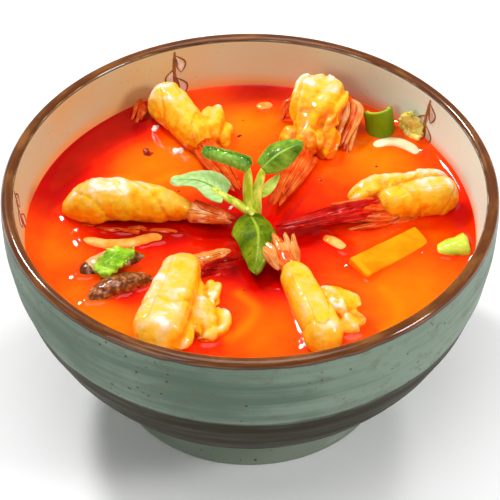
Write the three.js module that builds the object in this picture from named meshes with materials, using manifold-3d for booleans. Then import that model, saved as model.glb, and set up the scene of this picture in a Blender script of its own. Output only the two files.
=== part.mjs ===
// A stoneware bowl of hot red noodle soup with prawns, vegetables and a green sprig.
// Millimetres, +Z up. The origin is the centre of the bowl's foot, on the table.

import * as THREE from "three";
import { mergeVertices } from "three/addons/utils/BufferGeometryUtils.js";
import Module from "manifold-3d";

const wasm = await Module();
wasm.setup();

// Bowl
const RIM_RADIUS = 95;
const BOWL_HEIGHT = 98.2;
const LIP_RADIUS = 2.5;
const WAIST_RADIUS = 49.9;
const FOOT_RADIUS = 55.6;
const FOOT_HEIGHT = 11.5;
const FOOT_RECESS_RADIUS = 45;
const FOOT_RECESS_DEPTH = 6;
const FLOOR_HEIGHT = 16;
const BOWL_SEGMENTS = 56;
const WALL_STEPS = 9;

// Contents
const SOUP_LEVEL = 75.2;
const SOUP_SEGMENTS = 44;
const GAP = 0.45;

// One prawn: plan places of the thick end, the tail's root and the tail's end, each with its height
// over the soup; the hump's height; the thickest half-width; the end of its second, split half, with
// how far that half bends to the left on its way out; and the length of the tail fan.
const PRAWNS = [
  {
    name: "prawn_right",
    head: [80.5, 14, 3],
    hump: 7,
    root: [40, 7, 6],
    tail: [10, -6, 6],
    half: 7.6,
    flap: { end: [60, 27, 5], bend: 3.5, half: 5.2 },
    fan: 17,
  },
  {
    name: "prawn_back_right",
    head: [27, 79.5, 13],
    hump: 10.5,
    root: [20.5, 31, 4.5],
    tail: [9, 8, 4.5],
    half: 8.4,
    flap: { end: [41, 66, 8.5], bend: -3, half: 7.4 },
    fan: 18,
  },
  {
    name: "prawn_back_left",
    head: [-38, 76, 7.5],
    hump: 7.5,
    root: [-14, 38, 4.5],
    tail: [-4, 16, 5],
    half: 8.2,
    flap: { end: [-12.5, 67.5, 4], bend: -1, half: 6.2 },
    fan: 16,
  },
  {
    name: "prawn_left",
    head: [-73, 7, 0],
    hump: 9.5,
    root: [-20, 3, 5],
    tail: [-5.5, 0, 4.5],
    half: 8.8,
    flap: null,
    fan: 13,
  },
  {
    name: "prawn_front_left",
    head: [-34.5, -73, 7.5],
    hump: 9,
    root: [-23, -26.5, 8],
    tail: [-5.5, -17.5, 5.5],
    half: 8.8,
    flap: { end: [-12, -66, 4.5], bend: 3, half: 7.2 },
    fan: 11,
  },
  {
    name: "prawn_front_right",
    head: [30, -72, 3],
    hump: 6.5,
    root: [14, -26, 7],
    tail: [8.5, -13.5, 9.5],
    half: 7.6,
    flap: { end: [44, -61, 1], bend: 5, half: 6.6 },
    fan: 9,
  },
];
const ROOT_SHARE = 0.62;
const SEGMENT_COUNT = 5;
const SEGMENT_BULGE = 0.05;
const SHELL_END_HALF = 2.3;
const BLADE_HALF = 2.6;
const BLADE_THICKNESS = 1;
const BLADE_SPREAD = 0.3;

// Sprig
const SPRIG_BASE = [3, 1];
const STEM_HALF = 2;
const STEM_FLAT = 0.7;
const LEAF_THICKNESS = 0.9;
const LEAF_TIP_HALF = 0.25;

// Carrot baton
const CARROT_CENTRE = [53.5, -14.5];
const CARROT_SIZE = [33, 10.5, 7];
const CARROT_TURN = 38;
const CARROT_SHOWS = 2.6;

// Mushroom pieces
const STRIP_ENDS = [[-62, -40.5], [-36, -28.5]];
const STRIP_HALF = [4.6, 4.2];
const SLICE_ENDS = [[-66, -26.5], [-40, -16]];
const SLICE_HALF = [5, 2.6];

// Green pieces at the wall
const PEPPER_CENTRE = [52.4, 59.6];
const PEPPER_RADIUS = 6;
const PEPPER_WALL = 2.2;
const PEPPER_HEIGHT = 12;
const PEPPER_LIFT = 4;
const STALK_ENDS = [[71.5, -12.5], [84.3, -11]];
const STALK_HALF = [5.8, 4.4];

// Noodle stretches that break the surface
const NOODLE_HALF = 2.6;

const radians = THREE.MathUtils.degToRad;
const point = (x, y, z) => new THREE.Vector3(x, y, z);
const overSoup = ([x, y, z]) => point(x, y, SOUP_LEVEL + z);

// Closed solid of a three.js geometry, with coincident corners joined.
function solidOf(geometry) {
  const bare = geometry.clone();
  bare.deleteAttribute("normal");
  bare.deleteAttribute("uv");
  const merged = mergeVertices(bare, 1e-4);
  const corners = Array.from(merged.index.array);
  const kept = [];
  for (let i = 0; i < corners.length; i += 3) {
    const [a, b, c] = corners.slice(i, i + 3);
    if (a !== b && b !== c && c !== a) kept.push(a, b, c);
  }
  return new wasm.Manifold(
    new wasm.Mesh({
      numProp: 3,
      vertProperties: new Float32Array(merged.attributes.position.array),
      triVerts: new Uint32Array(kept),
    }),
  );
}

// Three.js geometry of a closed solid.
function geometryOf(solid) {
  const { vertProperties, triVerts } = solid.getMesh();
  const geometry = new THREE.BufferGeometry();
  geometry.setAttribute("position", new THREE.BufferAttribute(vertProperties.slice(), 3));
  geometry.setIndex(new THREE.BufferAttribute(triVerts.slice(), 1));
  return geometry;
}

// Solid of revolution about +Z from (radius, height) points.
function revolved(profile, segments) {
  return solidOf(new THREE.LatheGeometry(profile, segments).rotateX(Math.PI / 2));
}

// Across and normal directions of a curve at share s, the normal as near to up as it can be.
function frameAt(curve, s, up) {
  const tangent = curve.getTangentAt(s);
  const across = new THREE.Vector3().crossVectors(up, tangent).normalize();
  const normal = new THREE.Vector3().crossVectors(tangent, across);
  return { centre: curve.getPointAt(s), across, normal, tangent };
}

// Rounded body along a curve: elliptical rings between two poles, with half-sizes by the share s.
function sweptBody({ curve, up, width, height, sides, rings, grow = 0 }) {
  const geometry = new THREE.SphereGeometry(1, sides, rings);
  const place = geometry.attributes.position;
  for (let i = 0; i < place.count; i++) {
    const ring = Math.floor(i / (sides + 1));
    const angle = ((i % (sides + 1)) / sides) * 2 * Math.PI;
    const t = ring / rings;
    const s = THREE.MathUtils.clamp(t - (0.62 * Math.sin(2 * Math.PI * t)) / (2 * Math.PI), 0, 1);
    const pole = ring === 0 || ring === rings;
    const round = Math.min(1, Math.sqrt(Math.sin(Math.PI * s) * 2.2));
    const { centre, across, normal, tangent } = frameAt(curve, s, up);
    if (pole) {
      centre.addScaledVector(tangent, ring === 0 ? -2 * grow : 2 * grow);
    } else {
      centre.addScaledVector(across, -Math.cos(angle) * (round * width(s) + grow));
      centre.addScaledVector(normal, Math.sin(angle) * (round * height(s) + grow));
    }
    place.setXYZ(i, centre.x, centre.y, centre.z);
  }
  return solidOf(geometry);
}

// Thin closed sheet: one grid for both faces, so that both are split into triangles alike.
function sheet(surface, along, acrossCount, thickness) {
  const grid = new THREE.PlaneGeometry(1, 1, along, acrossCount);
  const uv = grid.attributes.uv;
  const count = uv.count;
  const corners = [];
  for (const side of [0.5, -0.5]) {
    for (let i = 0; i < count; i++) {
      const { place, normal } = surface(uv.getX(i), 2 * uv.getY(i) - 1);
      place.addScaledVector(normal, side * thickness);
      corners.push(place.x, place.y, place.z);
    }
  }
  const faces = Array.from(grid.index.array);
  const index = [...faces];
  for (let i = 0; i < faces.length; i += 3) {
    index.push(faces[i] + count, faces[i + 2] + count, faces[i + 1] + count);
  }
  const row = along + 1;
  const edge = [];
  for (let i = 0; i < along; i++) edge.push(i);
  for (let j = 0; j < acrossCount; j++) edge.push(j * row + along);
  for (let i = along; i > 0; i--) edge.push(acrossCount * row + i);
  for (let j = acrossCount; j > 0; j--) edge.push(j * row);
  edge.forEach((a, k) => {
    const b = edge[(k + 1) % edge.length];
    index.push(a, b, b + count, a, b + count, a + count);
  });
  const geometry = new THREE.BufferGeometry();
  geometry.setAttribute("position", new THREE.Float32BufferAttribute(corners, 3));
  geometry.setIndex(index);
  return solidOf(geometry);
}

// Leaf blade on a midrib curve: its edges curl down by an angle, and ripple a little.
function leaf(shape) {
  const { rib, up, half, curl, ripple = 0, along = 7, across = 6, grow = 0 } = shape;
  const { thickness = LEAF_THICKNESS } = shape;
  const curve = new THREE.CatmullRomCurve3(rib);
  const bend = radians(curl);
  const surface = (u, v) => {
    const { centre: place, across: sideways, normal, tangent } = frameAt(curve, u, up);
    if (u === 0) place.addScaledVector(tangent, -grow);
    if (u === 1) place.addScaledVector(tangent, grow);
    const share = Math.min(0.97, 0.04 + 0.93 * u) ** 0.85;
    const wide = grow + LEAF_TIP_HALF + half * Math.sin(Math.PI * share) ** 0.8;
    const swing = bend * v;
    const wave = ripple * Math.sin(9 * u + 2.1 * v) * v * v;
    place.addScaledVector(sideways, (wide * Math.sin(swing)) / bend);
    place.addScaledVector(normal, wave - (wide * (1 - Math.cos(swing))) / bend);
    const facing = normal.clone().multiplyScalar(Math.cos(swing));
    facing.addScaledVector(sideways, Math.sin(swing));
    return { place, normal: facing };
  };
  return sheet(surface, along, across, thickness + 3 * grow);
}

// Straight or bent round stretch, such as a stem or a noodle.
function stretch(places, half, { grow = 0, sides = 8, rings = 9, flat = 1, up = point(0, 0, 1) } = {}) {
  return sweptBody({
    curve: new THREE.CatmullRomCurve3(places),
    up,
    width: () => half,
    height: () => half * flat,
    sides,
    rings,
    grow,
  });
}

const union = (solids) => solids.reduce((whole, solid) => whole.add(solid));

// Bowl's inner wall, from the lip down to the middle of the floor.
const innerWall = new THREE.CubicBezierCurve(
  new THREE.Vector2(RIM_RADIUS - 2 * LIP_RADIUS, BOWL_HEIGHT - LIP_RADIUS),
  new THREE.Vector2(84.5, 43),
  new THREE.Vector2(64, FLOOR_HEIGHT),
  new THREE.Vector2(0, FLOOR_HEIGHT),
);

function bowl() {
  const lipHeight = BOWL_HEIGHT - LIP_RADIUS;
  const foot = new THREE.QuadraticBezierCurve(
    new THREE.Vector2(FOOT_RADIUS, 1),
    new THREE.Vector2(50.8, 4.5),
    new THREE.Vector2(WAIST_RADIUS, FOOT_HEIGHT),
  );
  const body = new THREE.CubicBezierCurve(
    new THREE.Vector2(WAIST_RADIUS, FOOT_HEIGHT),
    new THREE.Vector2(73.7, 23.3),
    new THREE.Vector2(96.7, 53),
    new THREE.Vector2(RIM_RADIUS, lipHeight),
  );
  const lip = new THREE.EllipseCurve(
    RIM_RADIUS - LIP_RADIUS, lipHeight, LIP_RADIUS, LIP_RADIUS, 0, Math.PI,
  );
  const profile = [
    new THREE.Vector2(0, FOOT_RECESS_DEPTH),
    new THREE.Vector2(FOOT_RECESS_RADIUS - 1.5, FOOT_RECESS_DEPTH),
    new THREE.Vector2(FOOT_RECESS_RADIUS, 0),
    new THREE.Vector2(FOOT_RADIUS - 0.8, 0),
    ...foot.getPoints(3),
    ...body.getPoints(9).slice(1),
    ...lip.getPoints(6).slice(1, -1),
    ...innerWall.getPoints(WALL_STEPS),
  ];
  return revolved(profile, BOWL_SEGMENTS);
}

// Soup up to its level, a gap clear of the bowl, before the pieces in it are cut out.
function soupFill() {
  const wetted = innerWall.getPoints(WALL_STEPS).filter((p) => p.y < SOUP_LEVEL - 2).slice(0, -1);
  const line = innerWall.getPoints(400).find((p) => p.y <= SOUP_LEVEL);
  const profile = [
    new THREE.Vector2(0, FLOOR_HEIGHT + GAP),
    ...wetted.reverse().map((p) => new THREE.Vector2(p.x - GAP, p.y + GAP)),
    new THREE.Vector2(line.x - 1.5 * GAP, SOUP_LEVEL),
    new THREE.Vector2(0, SOUP_LEVEL),
  ];
  return revolved(profile, SOUP_SEGMENTS);
}

// Body, split half, tail shell and tail blades of one prawn, as one solid.
function prawn({ head, hump, root, tail, half, flap, fan }, grow = 0) {
  const up = point(0, 0, 1);
  const from = overSoup(head);
  const to = overSoup(root);
  const end = overSoup(tail);
  const along = (s, height) => {
    const place = from.clone().lerp(to, s);
    place.z = SOUP_LEVEL + height;
    return place;
  };
  const spine = [from, along(0.3, hump), along(0.68, 0.6 * hump + 0.4 * root[2]), to];
  const girth = (s) => {
    const bulge = 1 + SEGMENT_BULGE * Math.cos(2 * Math.PI * SEGMENT_COUNT * s);
    return half * (1 - (1 - ROOT_SHARE) * s ** 1.6) * bulge;
  };
  const pieces = [
    sweptBody({
      curve: new THREE.CatmullRomCurve3(spine),
      up,
      width: girth,
      height: (s) => 1.12 * girth(s),
      sides: 8,
      rings: 13,
      grow,
    }),
  ];
  if (flap) {
    const tip = overSoup(flap.end);
    const hinge = along(0.92, root[2] - 1);
    const reach = tip.clone().sub(hinge);
    const left = new THREE.Vector3().crossVectors(up, reach).normalize();
    const middle = hinge.clone().addScaledVector(reach, 0.5).addScaledVector(left, flap.bend);
    pieces.push(
      sweptBody({
        curve: new THREE.CatmullRomCurve3([tip, middle, hinge]),
        up,
        width: (s) => flap.half * (1 + 0.06 * Math.cos(8 * Math.PI * s)),
        height: (s) => flap.half * (1.1 - 0.2 * s),
        sides: 7,
        rings: 7,
        grow,
      }),
    );
  }
  const heading = end.clone().sub(to).normalize();
  const knuckle = end.clone().addScaledVector(heading, -fan);
  const shellStart = to.clone().lerp(along(0.85, root[2]), 0.6);
  pieces.push(
    sweptBody({
      curve: new THREE.LineCurve3(shellStart, knuckle.clone().addScaledVector(heading, 0.3 * fan)),
      up,
      width: (s) => half * ROOT_SHARE * (1 - s) + SHELL_END_HALF * s,
      height: (s) => half * ROOT_SHARE * (1 - s) + SHELL_END_HALF * s,
      sides: 7,
      rings: 5,
      grow,
    }),
  );
  const sideways = new THREE.Vector3().crossVectors(up, heading).normalize();
  for (const turn of [-1, 0, 1]) {
    const tip = end.clone().addScaledVector(sideways, turn * BLADE_SPREAD * fan);
    tip.addScaledVector(heading, -0.12 * fan * Math.abs(turn));
    pieces.push(
      leaf({
        rib: [knuckle, knuckle.clone().lerp(tip, 0.5), tip],
        up,
        half: BLADE_HALF,
        curl: 35,
        along: 4,
        across: 2,
        thickness: BLADE_THICKNESS,
        grow,
      }),
    );
  }
  return union(pieces);
}

// Lettuce sprig: stems from one base, two rolled leaves on top, one to the left, one to the front.
function sprig(grow = 0) {
  const at = (x, y, z) => overSoup([SPRIG_BASE[0] + x, SPRIG_BASE[1] + y, z]);
  const leaves = [
    { rib: [at(-2.6, 6.5, 22), at(-11.5, 9.5, 26), at(-22, 14, 26.5)], half: 6.2, curl: 88 },
    { rib: [at(1, 6.5, 22), at(9, 11, 26), at(18, 16.5, 27)], half: 7.2, curl: 62 },
    { rib: [at(-9, 3, 11), at(-19, 6.5, 15), at(-33, 9.5, 17)], half: 7.6, curl: 28, ripple: 0.8 },
    { rib: [at(0, -2, 10), at(-0.6, -14, 13), at(-2, -30, 8)], half: 8.6, curl: 38, ripple: 0.6 },
    { rib: [at(2, 2.6, 10.5), at(4.8, 5.8, 14), at(7.8, 10, 17.5)], half: 2.4, curl: 30, along: 5 },
  ];
  const fork = at(-0.2, 0.4, 4);
  const runs = leaves.map(({ rib }) => [fork, rib[0], rib[0].clone().lerp(rib[1], 0.3)]);
  const stems = [[at(0, 0, -3), at(0, 0, 8)], ...runs].map((run) =>
    stretch(run, STEM_HALF, { grow, sides: 6, rings: 5, flat: STEM_FLAT, up: point(0, -1, 0.5) }),
  );
  const blades = leaves.map((shape) => leaf({ up: point(0, 0, 1), across: 4, ...shape, grow }));
  return union([...stems, ...blades]);
}

// Square-cut carrot baton, its top just out of the soup and its far end dipping.
function carrot(grow = 0) {
  const [long, wide, thick] = CARROT_SIZE.map((size) => size + 2 * grow);
  const bar = new THREE.BoxGeometry(long, wide, thick);
  bar.rotateX(radians(9));
  bar.rotateY(radians(4));
  bar.rotateZ(radians(CARROT_TURN));
  bar.translate(...CARROT_CENTRE, SOUP_LEVEL + CARROT_SHOWS - CARROT_SIZE[2] / 2);
  return solidOf(bar);
}

// Long mushroom piece with pointed ends between two plan places.
function mushroom([[x0, y0], [x1, y1]], [half, tall], height, grow = 0) {
  const places = [
    point(x0, y0, SOUP_LEVEL + height - 1),
    point((x0 + x1) / 2 - 1.5, (y0 + y1) / 2 + 1.5, SOUP_LEVEL + height + 0.8),
    point(x1, y1, SOUP_LEVEL + height),
  ];
  return sweptBody({
    curve: new THREE.CatmullRomCurve3(places),
    up: point(0, 0, 1),
    width: (s) => half * Math.sin(Math.PI * (0.1 + 0.8 * s)) ** 0.7,
    height: (s) => tall * Math.sin(Math.PI * (0.1 + 0.8 * s)) ** 0.7,
    sides: 8,
    rings: 8,
    grow,
  });
}

// Crumpled herb leaf that lies over the mushroom slice.
function herb(grow = 0) {
  const lift = SOUP_LEVEL + 6.2;
  return leaf({
    rib: [point(-57.5, -30, lift - 1), point(-51.5, -23, lift + 0.9), point(-44.5, -17.5, lift - 0.6)],
    up: point(0, 0, 1),
    half: 5.2,
    curl: 30,
    ripple: 1,
    grow,
  });
}

// Bent strip of green pepper on its edge: an arc of wall.
function pepper(grow = 0) {
  const outer = PEPPER_RADIUS + grow;
  const inner = PEPPER_RADIUS - PEPPER_WALL - grow;
  const arc = new THREE.Shape();
  const start = radians(-12) - grow / inner;
  const stop = radians(172) + grow / inner;
  arc.absarc(0, 0, outer, start, stop, false);
  arc.absarc(0, 0, inner, stop, start, true);
  const height = PEPPER_HEIGHT + 2 * grow;
  const strip = new THREE.ExtrudeGeometry(arc, { depth: height, bevelEnabled: false, curveSegments: 9 });
  strip.translate(0, 0, -height / 2);
  strip.rotateX(radians(-24));
  strip.rotateZ(radians(205));
  strip.translate(...PEPPER_CENTRE, SOUP_LEVEL + PEPPER_LIFT);
  return solidOf(strip);
}

// Frilled scrap of cabbage leaf against the wall.
function cabbage(grow = 0) {
  return leaf({
    rib: [overSoup([63, 53.6, -2]), overSoup([64.4, 55, 5]), overSoup([65, 55.6, 12])],
    up: point(-0.75, -0.66, 0.1),
    half: 5,
    curl: 24,
    ripple: 0.9,
    thickness: 1.6,
    grow,
  });
}

// Chunk of pale green stalk at the right wall.
function stalk(grow = 0) {
  const [[x0, y0], [x1, y1]] = STALK_ENDS;
  const places = [point(x0, y0, SOUP_LEVEL - 1), point(x1, y1, SOUP_LEVEL + 3)];
  return sweptBody({
    curve: new THREE.LineCurve3(...places),
    up: point(0, 0, 1),
    width: (s) => STALK_HALF[0] * (0.55 + 0.45 * s),
    height: (s) => STALK_HALF[1] * (0.55 + 0.45 * s),
    sides: 8,
    rings: 7,
    grow,
  });
}

const noodleRuns = {
  noodle_right: [[48.5, 46, -3], [52, 49.5, -0.4], [58.5, 50.2, 0.4], [65, 46.4, 0.2], [69.5, 41, -3]],
  noodle_centre: [[26.5, -4.5, -2.5], [30.5, -7, -0.4], [35, -10.6, -0.6], [38, -13.5, -3]],
  noodle_left: [[-66, -5.5, -0.6], [-57, -9.5, 0.2], [-47, -9.5, 0.4], [-36, -5.8, -0.4], [-30, -7, -3]],
  noodle_back: [[2, 70, -4], [4.5, 73, -0.6], [7.5, 73.5, -0.6], [10, 71, -4]],
};

function noodle(run, grow = 0) {
  return stretch(run.map(overSoup), NOODLE_HALF, { grow, flat: 0.85 });
}

// Every piece in the soup, by name, with a function that builds it grown by a margin.
const pieces = new Map();
PRAWNS.forEach((row) => pieces.set(row.name, (grow) => prawn(row, grow)));
pieces.set("sprig", sprig);
pieces.set("carrot_baton", carrot);
pieces.set("mushroom_strip", (grow) => mushroom(STRIP_ENDS, STRIP_HALF, 0.6, grow));
pieces.set("mushroom_slice", (grow) => mushroom(SLICE_ENDS, SLICE_HALF, 0.8, grow));
pieces.set("herb_leaf", herb);
pieces.set("pepper_piece", pepper);
pieces.set("cabbage_piece", cabbage);
pieces.set("stalk_piece", stalk);
Object.entries(noodleRuns).forEach(([name, run]) => pieces.set(name, (grow) => noodle(run, grow)));

const COLOURS = {
  bowl: [0x7b8a76, 0.35],
  soup: [0xf4560a, 0.2],
  prawn: [0xf6c463, 0.35],
  sprig: [0x5fa231, 0.4],
  carrot: [0xf7a013, 0.4],
  mushroom: [0x6e4424, 0.4],
  herb: [0x6fb526, 0.4],
  pepper: [0x6f9a2c, 0.35],
  cabbage: [0xb9a945, 0.45],
  stalk: [0xb7d13f, 0.4],
  noodle: [0xf7c887, 0.4],
};

const food = new THREE.Group();
food.name = "bowl_of_spicy_udon";

function addMesh(name, solid) {
  const [color, roughness] = COLOURS[name.split("_")[0]];
  const material = new THREE.MeshStandardMaterial({ color, roughness, metalness: 0 });
  const mesh = new THREE.Mesh(geometryOf(solid), material);
  mesh.name = name;
  food.add(mesh);
}

addMesh("bowl", bowl());
let soup = soupFill();
pieces.forEach((build) => {
  soup = soup.subtract(build(GAP));
});
addMesh("soup", soup);
pieces.forEach((build, name) => addMesh(name, build(0)));

export default food;
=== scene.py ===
"""Looks of a stoneware bowl of hot red noodle soup with prawns, in metres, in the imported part's frame."""

import logging
import math
import random
from dataclasses import dataclass, field
from enum import Enum
from pathlib import Path as FilePath
from typing import Callable, Sequence

import bpy
import numpy as np
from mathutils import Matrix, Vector
from mathutils.bvhtree import BVHTree


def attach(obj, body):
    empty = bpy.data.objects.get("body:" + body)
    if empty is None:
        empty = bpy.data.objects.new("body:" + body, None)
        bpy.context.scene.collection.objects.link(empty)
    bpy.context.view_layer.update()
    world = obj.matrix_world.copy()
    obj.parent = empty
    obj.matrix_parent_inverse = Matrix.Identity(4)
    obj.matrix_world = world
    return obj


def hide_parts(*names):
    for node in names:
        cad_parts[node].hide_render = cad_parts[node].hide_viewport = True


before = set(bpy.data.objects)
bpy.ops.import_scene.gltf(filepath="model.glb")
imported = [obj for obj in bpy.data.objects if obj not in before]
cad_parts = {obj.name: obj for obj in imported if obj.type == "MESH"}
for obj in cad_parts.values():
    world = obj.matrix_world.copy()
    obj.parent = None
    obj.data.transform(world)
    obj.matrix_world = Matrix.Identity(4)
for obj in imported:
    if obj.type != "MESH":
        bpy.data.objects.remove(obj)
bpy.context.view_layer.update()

LOG = logging.getLogger("scene")
MM = 0.001
LEVEL = 75.2 * MM
UP = Vector((0.0, 0.0, 1.0))
FULL_TURN = 2 * math.pi
CRUMB_SEED = 11
LOOSE_FLAKES = 46
FLAKE_SPREAD = 78.0

Colour = tuple[float, float, float]
Stop = tuple[float, Colour]
Triple = tuple[float, float, float]


def over_soup(x: float, y: float, z: float) -> Vector:
    """Place over the soup's level, from millimetres."""
    return Vector((x * MM, y * MM, LEVEL + z * MM))


def bezier(points: Sequence[Sequence[float]], count: int) -> np.ndarray:
    """Points of a Bezier curve of any degree.

    Args:
        points: control points.
        count: how many stretches to cut it into.

    Returns:
        An array of count + 1 points.
    """
    share = np.linspace(0.0, 1.0, count + 1)[:, None]
    degree = len(points) - 1
    total = np.zeros((count + 1, len(points[0])))
    for k, control in enumerate(points):
        weight = math.comb(degree, k) * share**k * (1.0 - share) ** (degree - k)
        total += weight * np.array(control)
    return total


def reach_along(points: np.ndarray) -> np.ndarray:
    """Length of a run of points up to each of them."""
    steps = np.linalg.norm(np.diff(points, axis=0), axis=1)
    return np.concatenate([[0.0], np.cumsum(steps)])


def steady(share: float) -> float:
    """Full size at every share of a run."""
    return 1.0


def sloping(first: float, last: float) -> Callable[[float], float]:
    """Size that goes evenly from one value to another.

    Args:
        first: size at the start of a run.
        last: size at its end.

    Returns:
        The rule that gives the size at a share of the run.
    """

    def size(share: float) -> float:
        """Size at a share of the run."""
        return first * (1.0 - share) + last * share

    return size


class Path:
    """Smooth run through places, measured along its own length."""

    STEPS = 32
    NEARBY = 0.02

    def __init__(self, places: Sequence[Vector]) -> None:
        """Sample the run.

        Args:
            places: the places it passes through, in order.
        """
        known = [np.array(p) for p in places]
        known = [2 * known[0] - known[1], *known, 2 * known[-1] - known[-2]]
        runs = [self._stretch(*known[i : i + 4]) for i in range(len(known) - 3)]
        self.samples = np.vstack([*runs, known[-2]])
        self.reach = reach_along(self.samples)
        self.length = float(self.reach[-1])

    @classmethod
    def _stretch(cls, a: np.ndarray, b: np.ndarray, c: np.ndarray, d: np.ndarray) -> np.ndarray:
        """Samples of one stretch of the run.

        Args:
            a: the place before it.
            b: where it starts.
            c: where it ends.
            d: the place after it.

        Returns:
            Places from b on, without c.
        """
        before, here, after = (math.sqrt(np.linalg.norm(q - p)) for p, q in ((a, b), (b, c), (c, d)))
        first = ((b - a) / before - (c - a) / (before + here) + (c - b) / here) * here
        last = ((c - b) / here - (d - b) / (here + after) + (d - c) / after) * here
        t = np.linspace(0.0, 1.0, cls.STEPS, endpoint=False)[:, None]
        bend = 3 * (c - b) - 2 * first - last
        return b + first * t + bend * t**2 + (2 * (b - c) + first + last) * t**3

    def at(self, shares: np.ndarray) -> np.ndarray:
        """Places at shares of the length."""
        where = np.asarray(shares) * self.length
        return np.stack([np.interp(where, self.reach, axis) for axis in self.samples.T], axis=-1)

    def frames(self, shares: np.ndarray, up: Vector) -> tuple[np.ndarray, np.ndarray, np.ndarray]:
        """Places, sideways directions and normals at shares of the length.

        Args:
            shares: shares of the length, 0 to 1.
            up: what the normals come as near to as they can.

        Returns:
            Three arrays, with a row for each share.
        """
        before, after = (np.clip(shares + s, 0.0, 1.0) for s in (-self.NEARBY, self.NEARBY))
        ahead = self.at(after) - self.at(before)
        ahead /= np.linalg.norm(ahead, axis=-1, keepdims=True)
        across = np.cross(np.array(up), ahead)
        across /= np.linalg.norm(across, axis=-1, keepdims=True)
        return self.at(shares), across, np.cross(ahead, across)


class Tone:
    """A shader socket that takes part in arithmetic."""

    def __init__(self, paint: "Paint", socket: bpy.types.NodeSocket) -> None:
        """Wrap a socket of a paint's tree."""
        self.paint = paint
        self.socket = socket

    def __add__(self, other: "Tone | float") -> "Tone":
        """Sum."""
        return self.paint.math("ADD", self, other)

    __radd__ = __add__

    def __sub__(self, other: "Tone | float") -> "Tone":
        """Difference."""
        return self.paint.math("SUBTRACT", self, other)

    def __rsub__(self, other: float) -> "Tone":
        """Difference from a number."""
        return self.paint.math("SUBTRACT", other, self)

    def __mul__(self, other: "Tone | float") -> "Tone":
        """Product."""
        return self.paint.math("MULTIPLY", self, other)

    __rmul__ = __mul__

    def __abs__(self) -> "Tone":
        """Size without sign."""
        return self.paint.math("ABSOLUTE", self)

    def between(self, low: float, high: float) -> "Tone":
        """Smooth rise from 0 at low to 1 at high; high may be the lower one."""
        inputs = {"Value": self, "From Min": low, "From Max": high}
        return self.paint.node("ShaderNodeMapRange", {"interpolation_type": "SMOOTHSTEP"}, inputs)


class Paint:
    """One procedural material, written as expressions."""

    def __init__(self, name: str, constants: dict[str, float | Triple]) -> None:
        """Start a material.

        Args:
            name: the material's name.
            constants: fixed values, by socket of the surface shader.
        """
        self.material = bpy.data.materials.new(name)
        self.material.use_nodes = True
        self.tree = self.material.node_tree
        self.shader = next(n for n in self.tree.nodes if n.type == "BSDF_PRINCIPLED")
        self.finish(constants)

    def finish(self, channels: dict[str, "Tone | float | Triple"]) -> bpy.types.Material:
        """Feed the surface shader.

        Args:
            channels: what goes into its sockets, by name.

        Returns:
            The finished material.
        """
        for label, value in channels.items():
            self._feed(self.shader.inputs[label], value)
        return self.material

    def _feed(self, socket: bpy.types.NodeSocket, value: "Tone | float | Triple") -> None:
        """Link a tone into a socket, or set its fixed value.

        Args:
            socket: the input.
            value: the tone, or the fixed value.
        """
        if isinstance(value, Tone):
            self.tree.links.new(value.socket, socket)
        elif socket.type == "RGBA":
            socket.default_value = (*value, 1.0)
        else:
            socket.default_value = value

    def node(
        self,
        kind: str,
        settings: dict[str, object] | None = None,
        inputs: dict[str | int, "Tone | float | Triple"] | None = None,
        output: str | int = 0,
    ) -> Tone:
        """Make any node.

        Args:
            kind: the node's type.
            settings: its properties, set first.
            inputs: what feeds its sockets, by name or place.
            output: the socket to hand back.

        Returns:
            The chosen output.
        """
        made = self.tree.nodes.new(kind)
        for label, value in (settings or {}).items():
            setattr(made, label, value)
        for label, value in (inputs or {}).items():
            self._feed(made.inputs[label], value)
        return Tone(self, made.outputs[output])

    def math(self, operation: str, *operands: Tone | float) -> Tone:
        """One step of arithmetic."""
        return self.node("ShaderNodeMath", {"operation": operation}, dict(enumerate(operands)))

    def place(self, stretch: Triple = (1.0, 1.0, 1.0)) -> Tone:
        """Object coordinates, each axis multiplied by its own factor."""
        spot = self.node("ShaderNodeTexCoord", output="Object")
        return self.node("ShaderNodeVectorMath", {"operation": "MULTIPLY"}, {0: spot, 1: stretch})

    def axis(self, letter: str) -> Tone:
        """One object coordinate."""
        return self.node("ShaderNodeSeparateXYZ", inputs={0: self.place()}, output=letter)

    def attribute(self, name: str) -> Tone:
        """A number painted on the mesh."""
        return self.node("ShaderNodeAttribute", {"attribute_name": name}, output="Fac")

    def plane(self, first: Tone, second: Tone) -> Tone:
        """Vector of two numbers."""
        return self.node("ShaderNodeCombineXYZ", inputs={0: first, 1: second})

    def noise(self, vector: Tone, scale: float, detail: float = 2.0, rough: float = 0.5) -> Tone:
        """Cloudy noise about 0.5."""
        inputs = {"Vector": vector, "Scale": scale, "Detail": detail, "Roughness": rough}
        return self.node("ShaderNodeTexNoise", inputs=inputs)

    def cells(self, vector: Tone, scale: float) -> Tone:
        """Distance to the nearest of scattered points."""
        return self.node("ShaderNodeTexVoronoi", inputs={"Vector": vector, "Scale": scale})

    def mix(self, share: Tone | float, first: Tone | Colour, second: Tone | Colour) -> Tone:
        """Colour between two colours."""
        settings = {"data_type": "RGBA", "clamp_factor": True}
        return self.node("ShaderNodeMix", settings, {0: share, 6: first, 7: second}, output=2)

    def ramp(self, share: Tone, stops: Sequence[Stop]) -> Tone:
        """Colour by a share.

        Args:
            share: where to look it up.
            stops: places and colours in rising order.

        Returns:
            The colour.
        """
        tone = self.node("ShaderNodeValToRGB", inputs={0: share})
        elements = tone.socket.node.color_ramp.elements
        while len(elements) < len(stops):
            elements.new(1.0)
        for element, (position, colour) in zip(elements, stops):
            element.position = position
            element.color = (*colour, 1.0)
        return tone

    def bump(self, height: Tone, distance: float, strength: float = 1.0) -> Tone:
        """Normal of a relief of that height in metres."""
        inputs = {"Strength": strength, "Distance": distance, "Height": height}
        return self.node("ShaderNodeBump", inputs=inputs)


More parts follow.
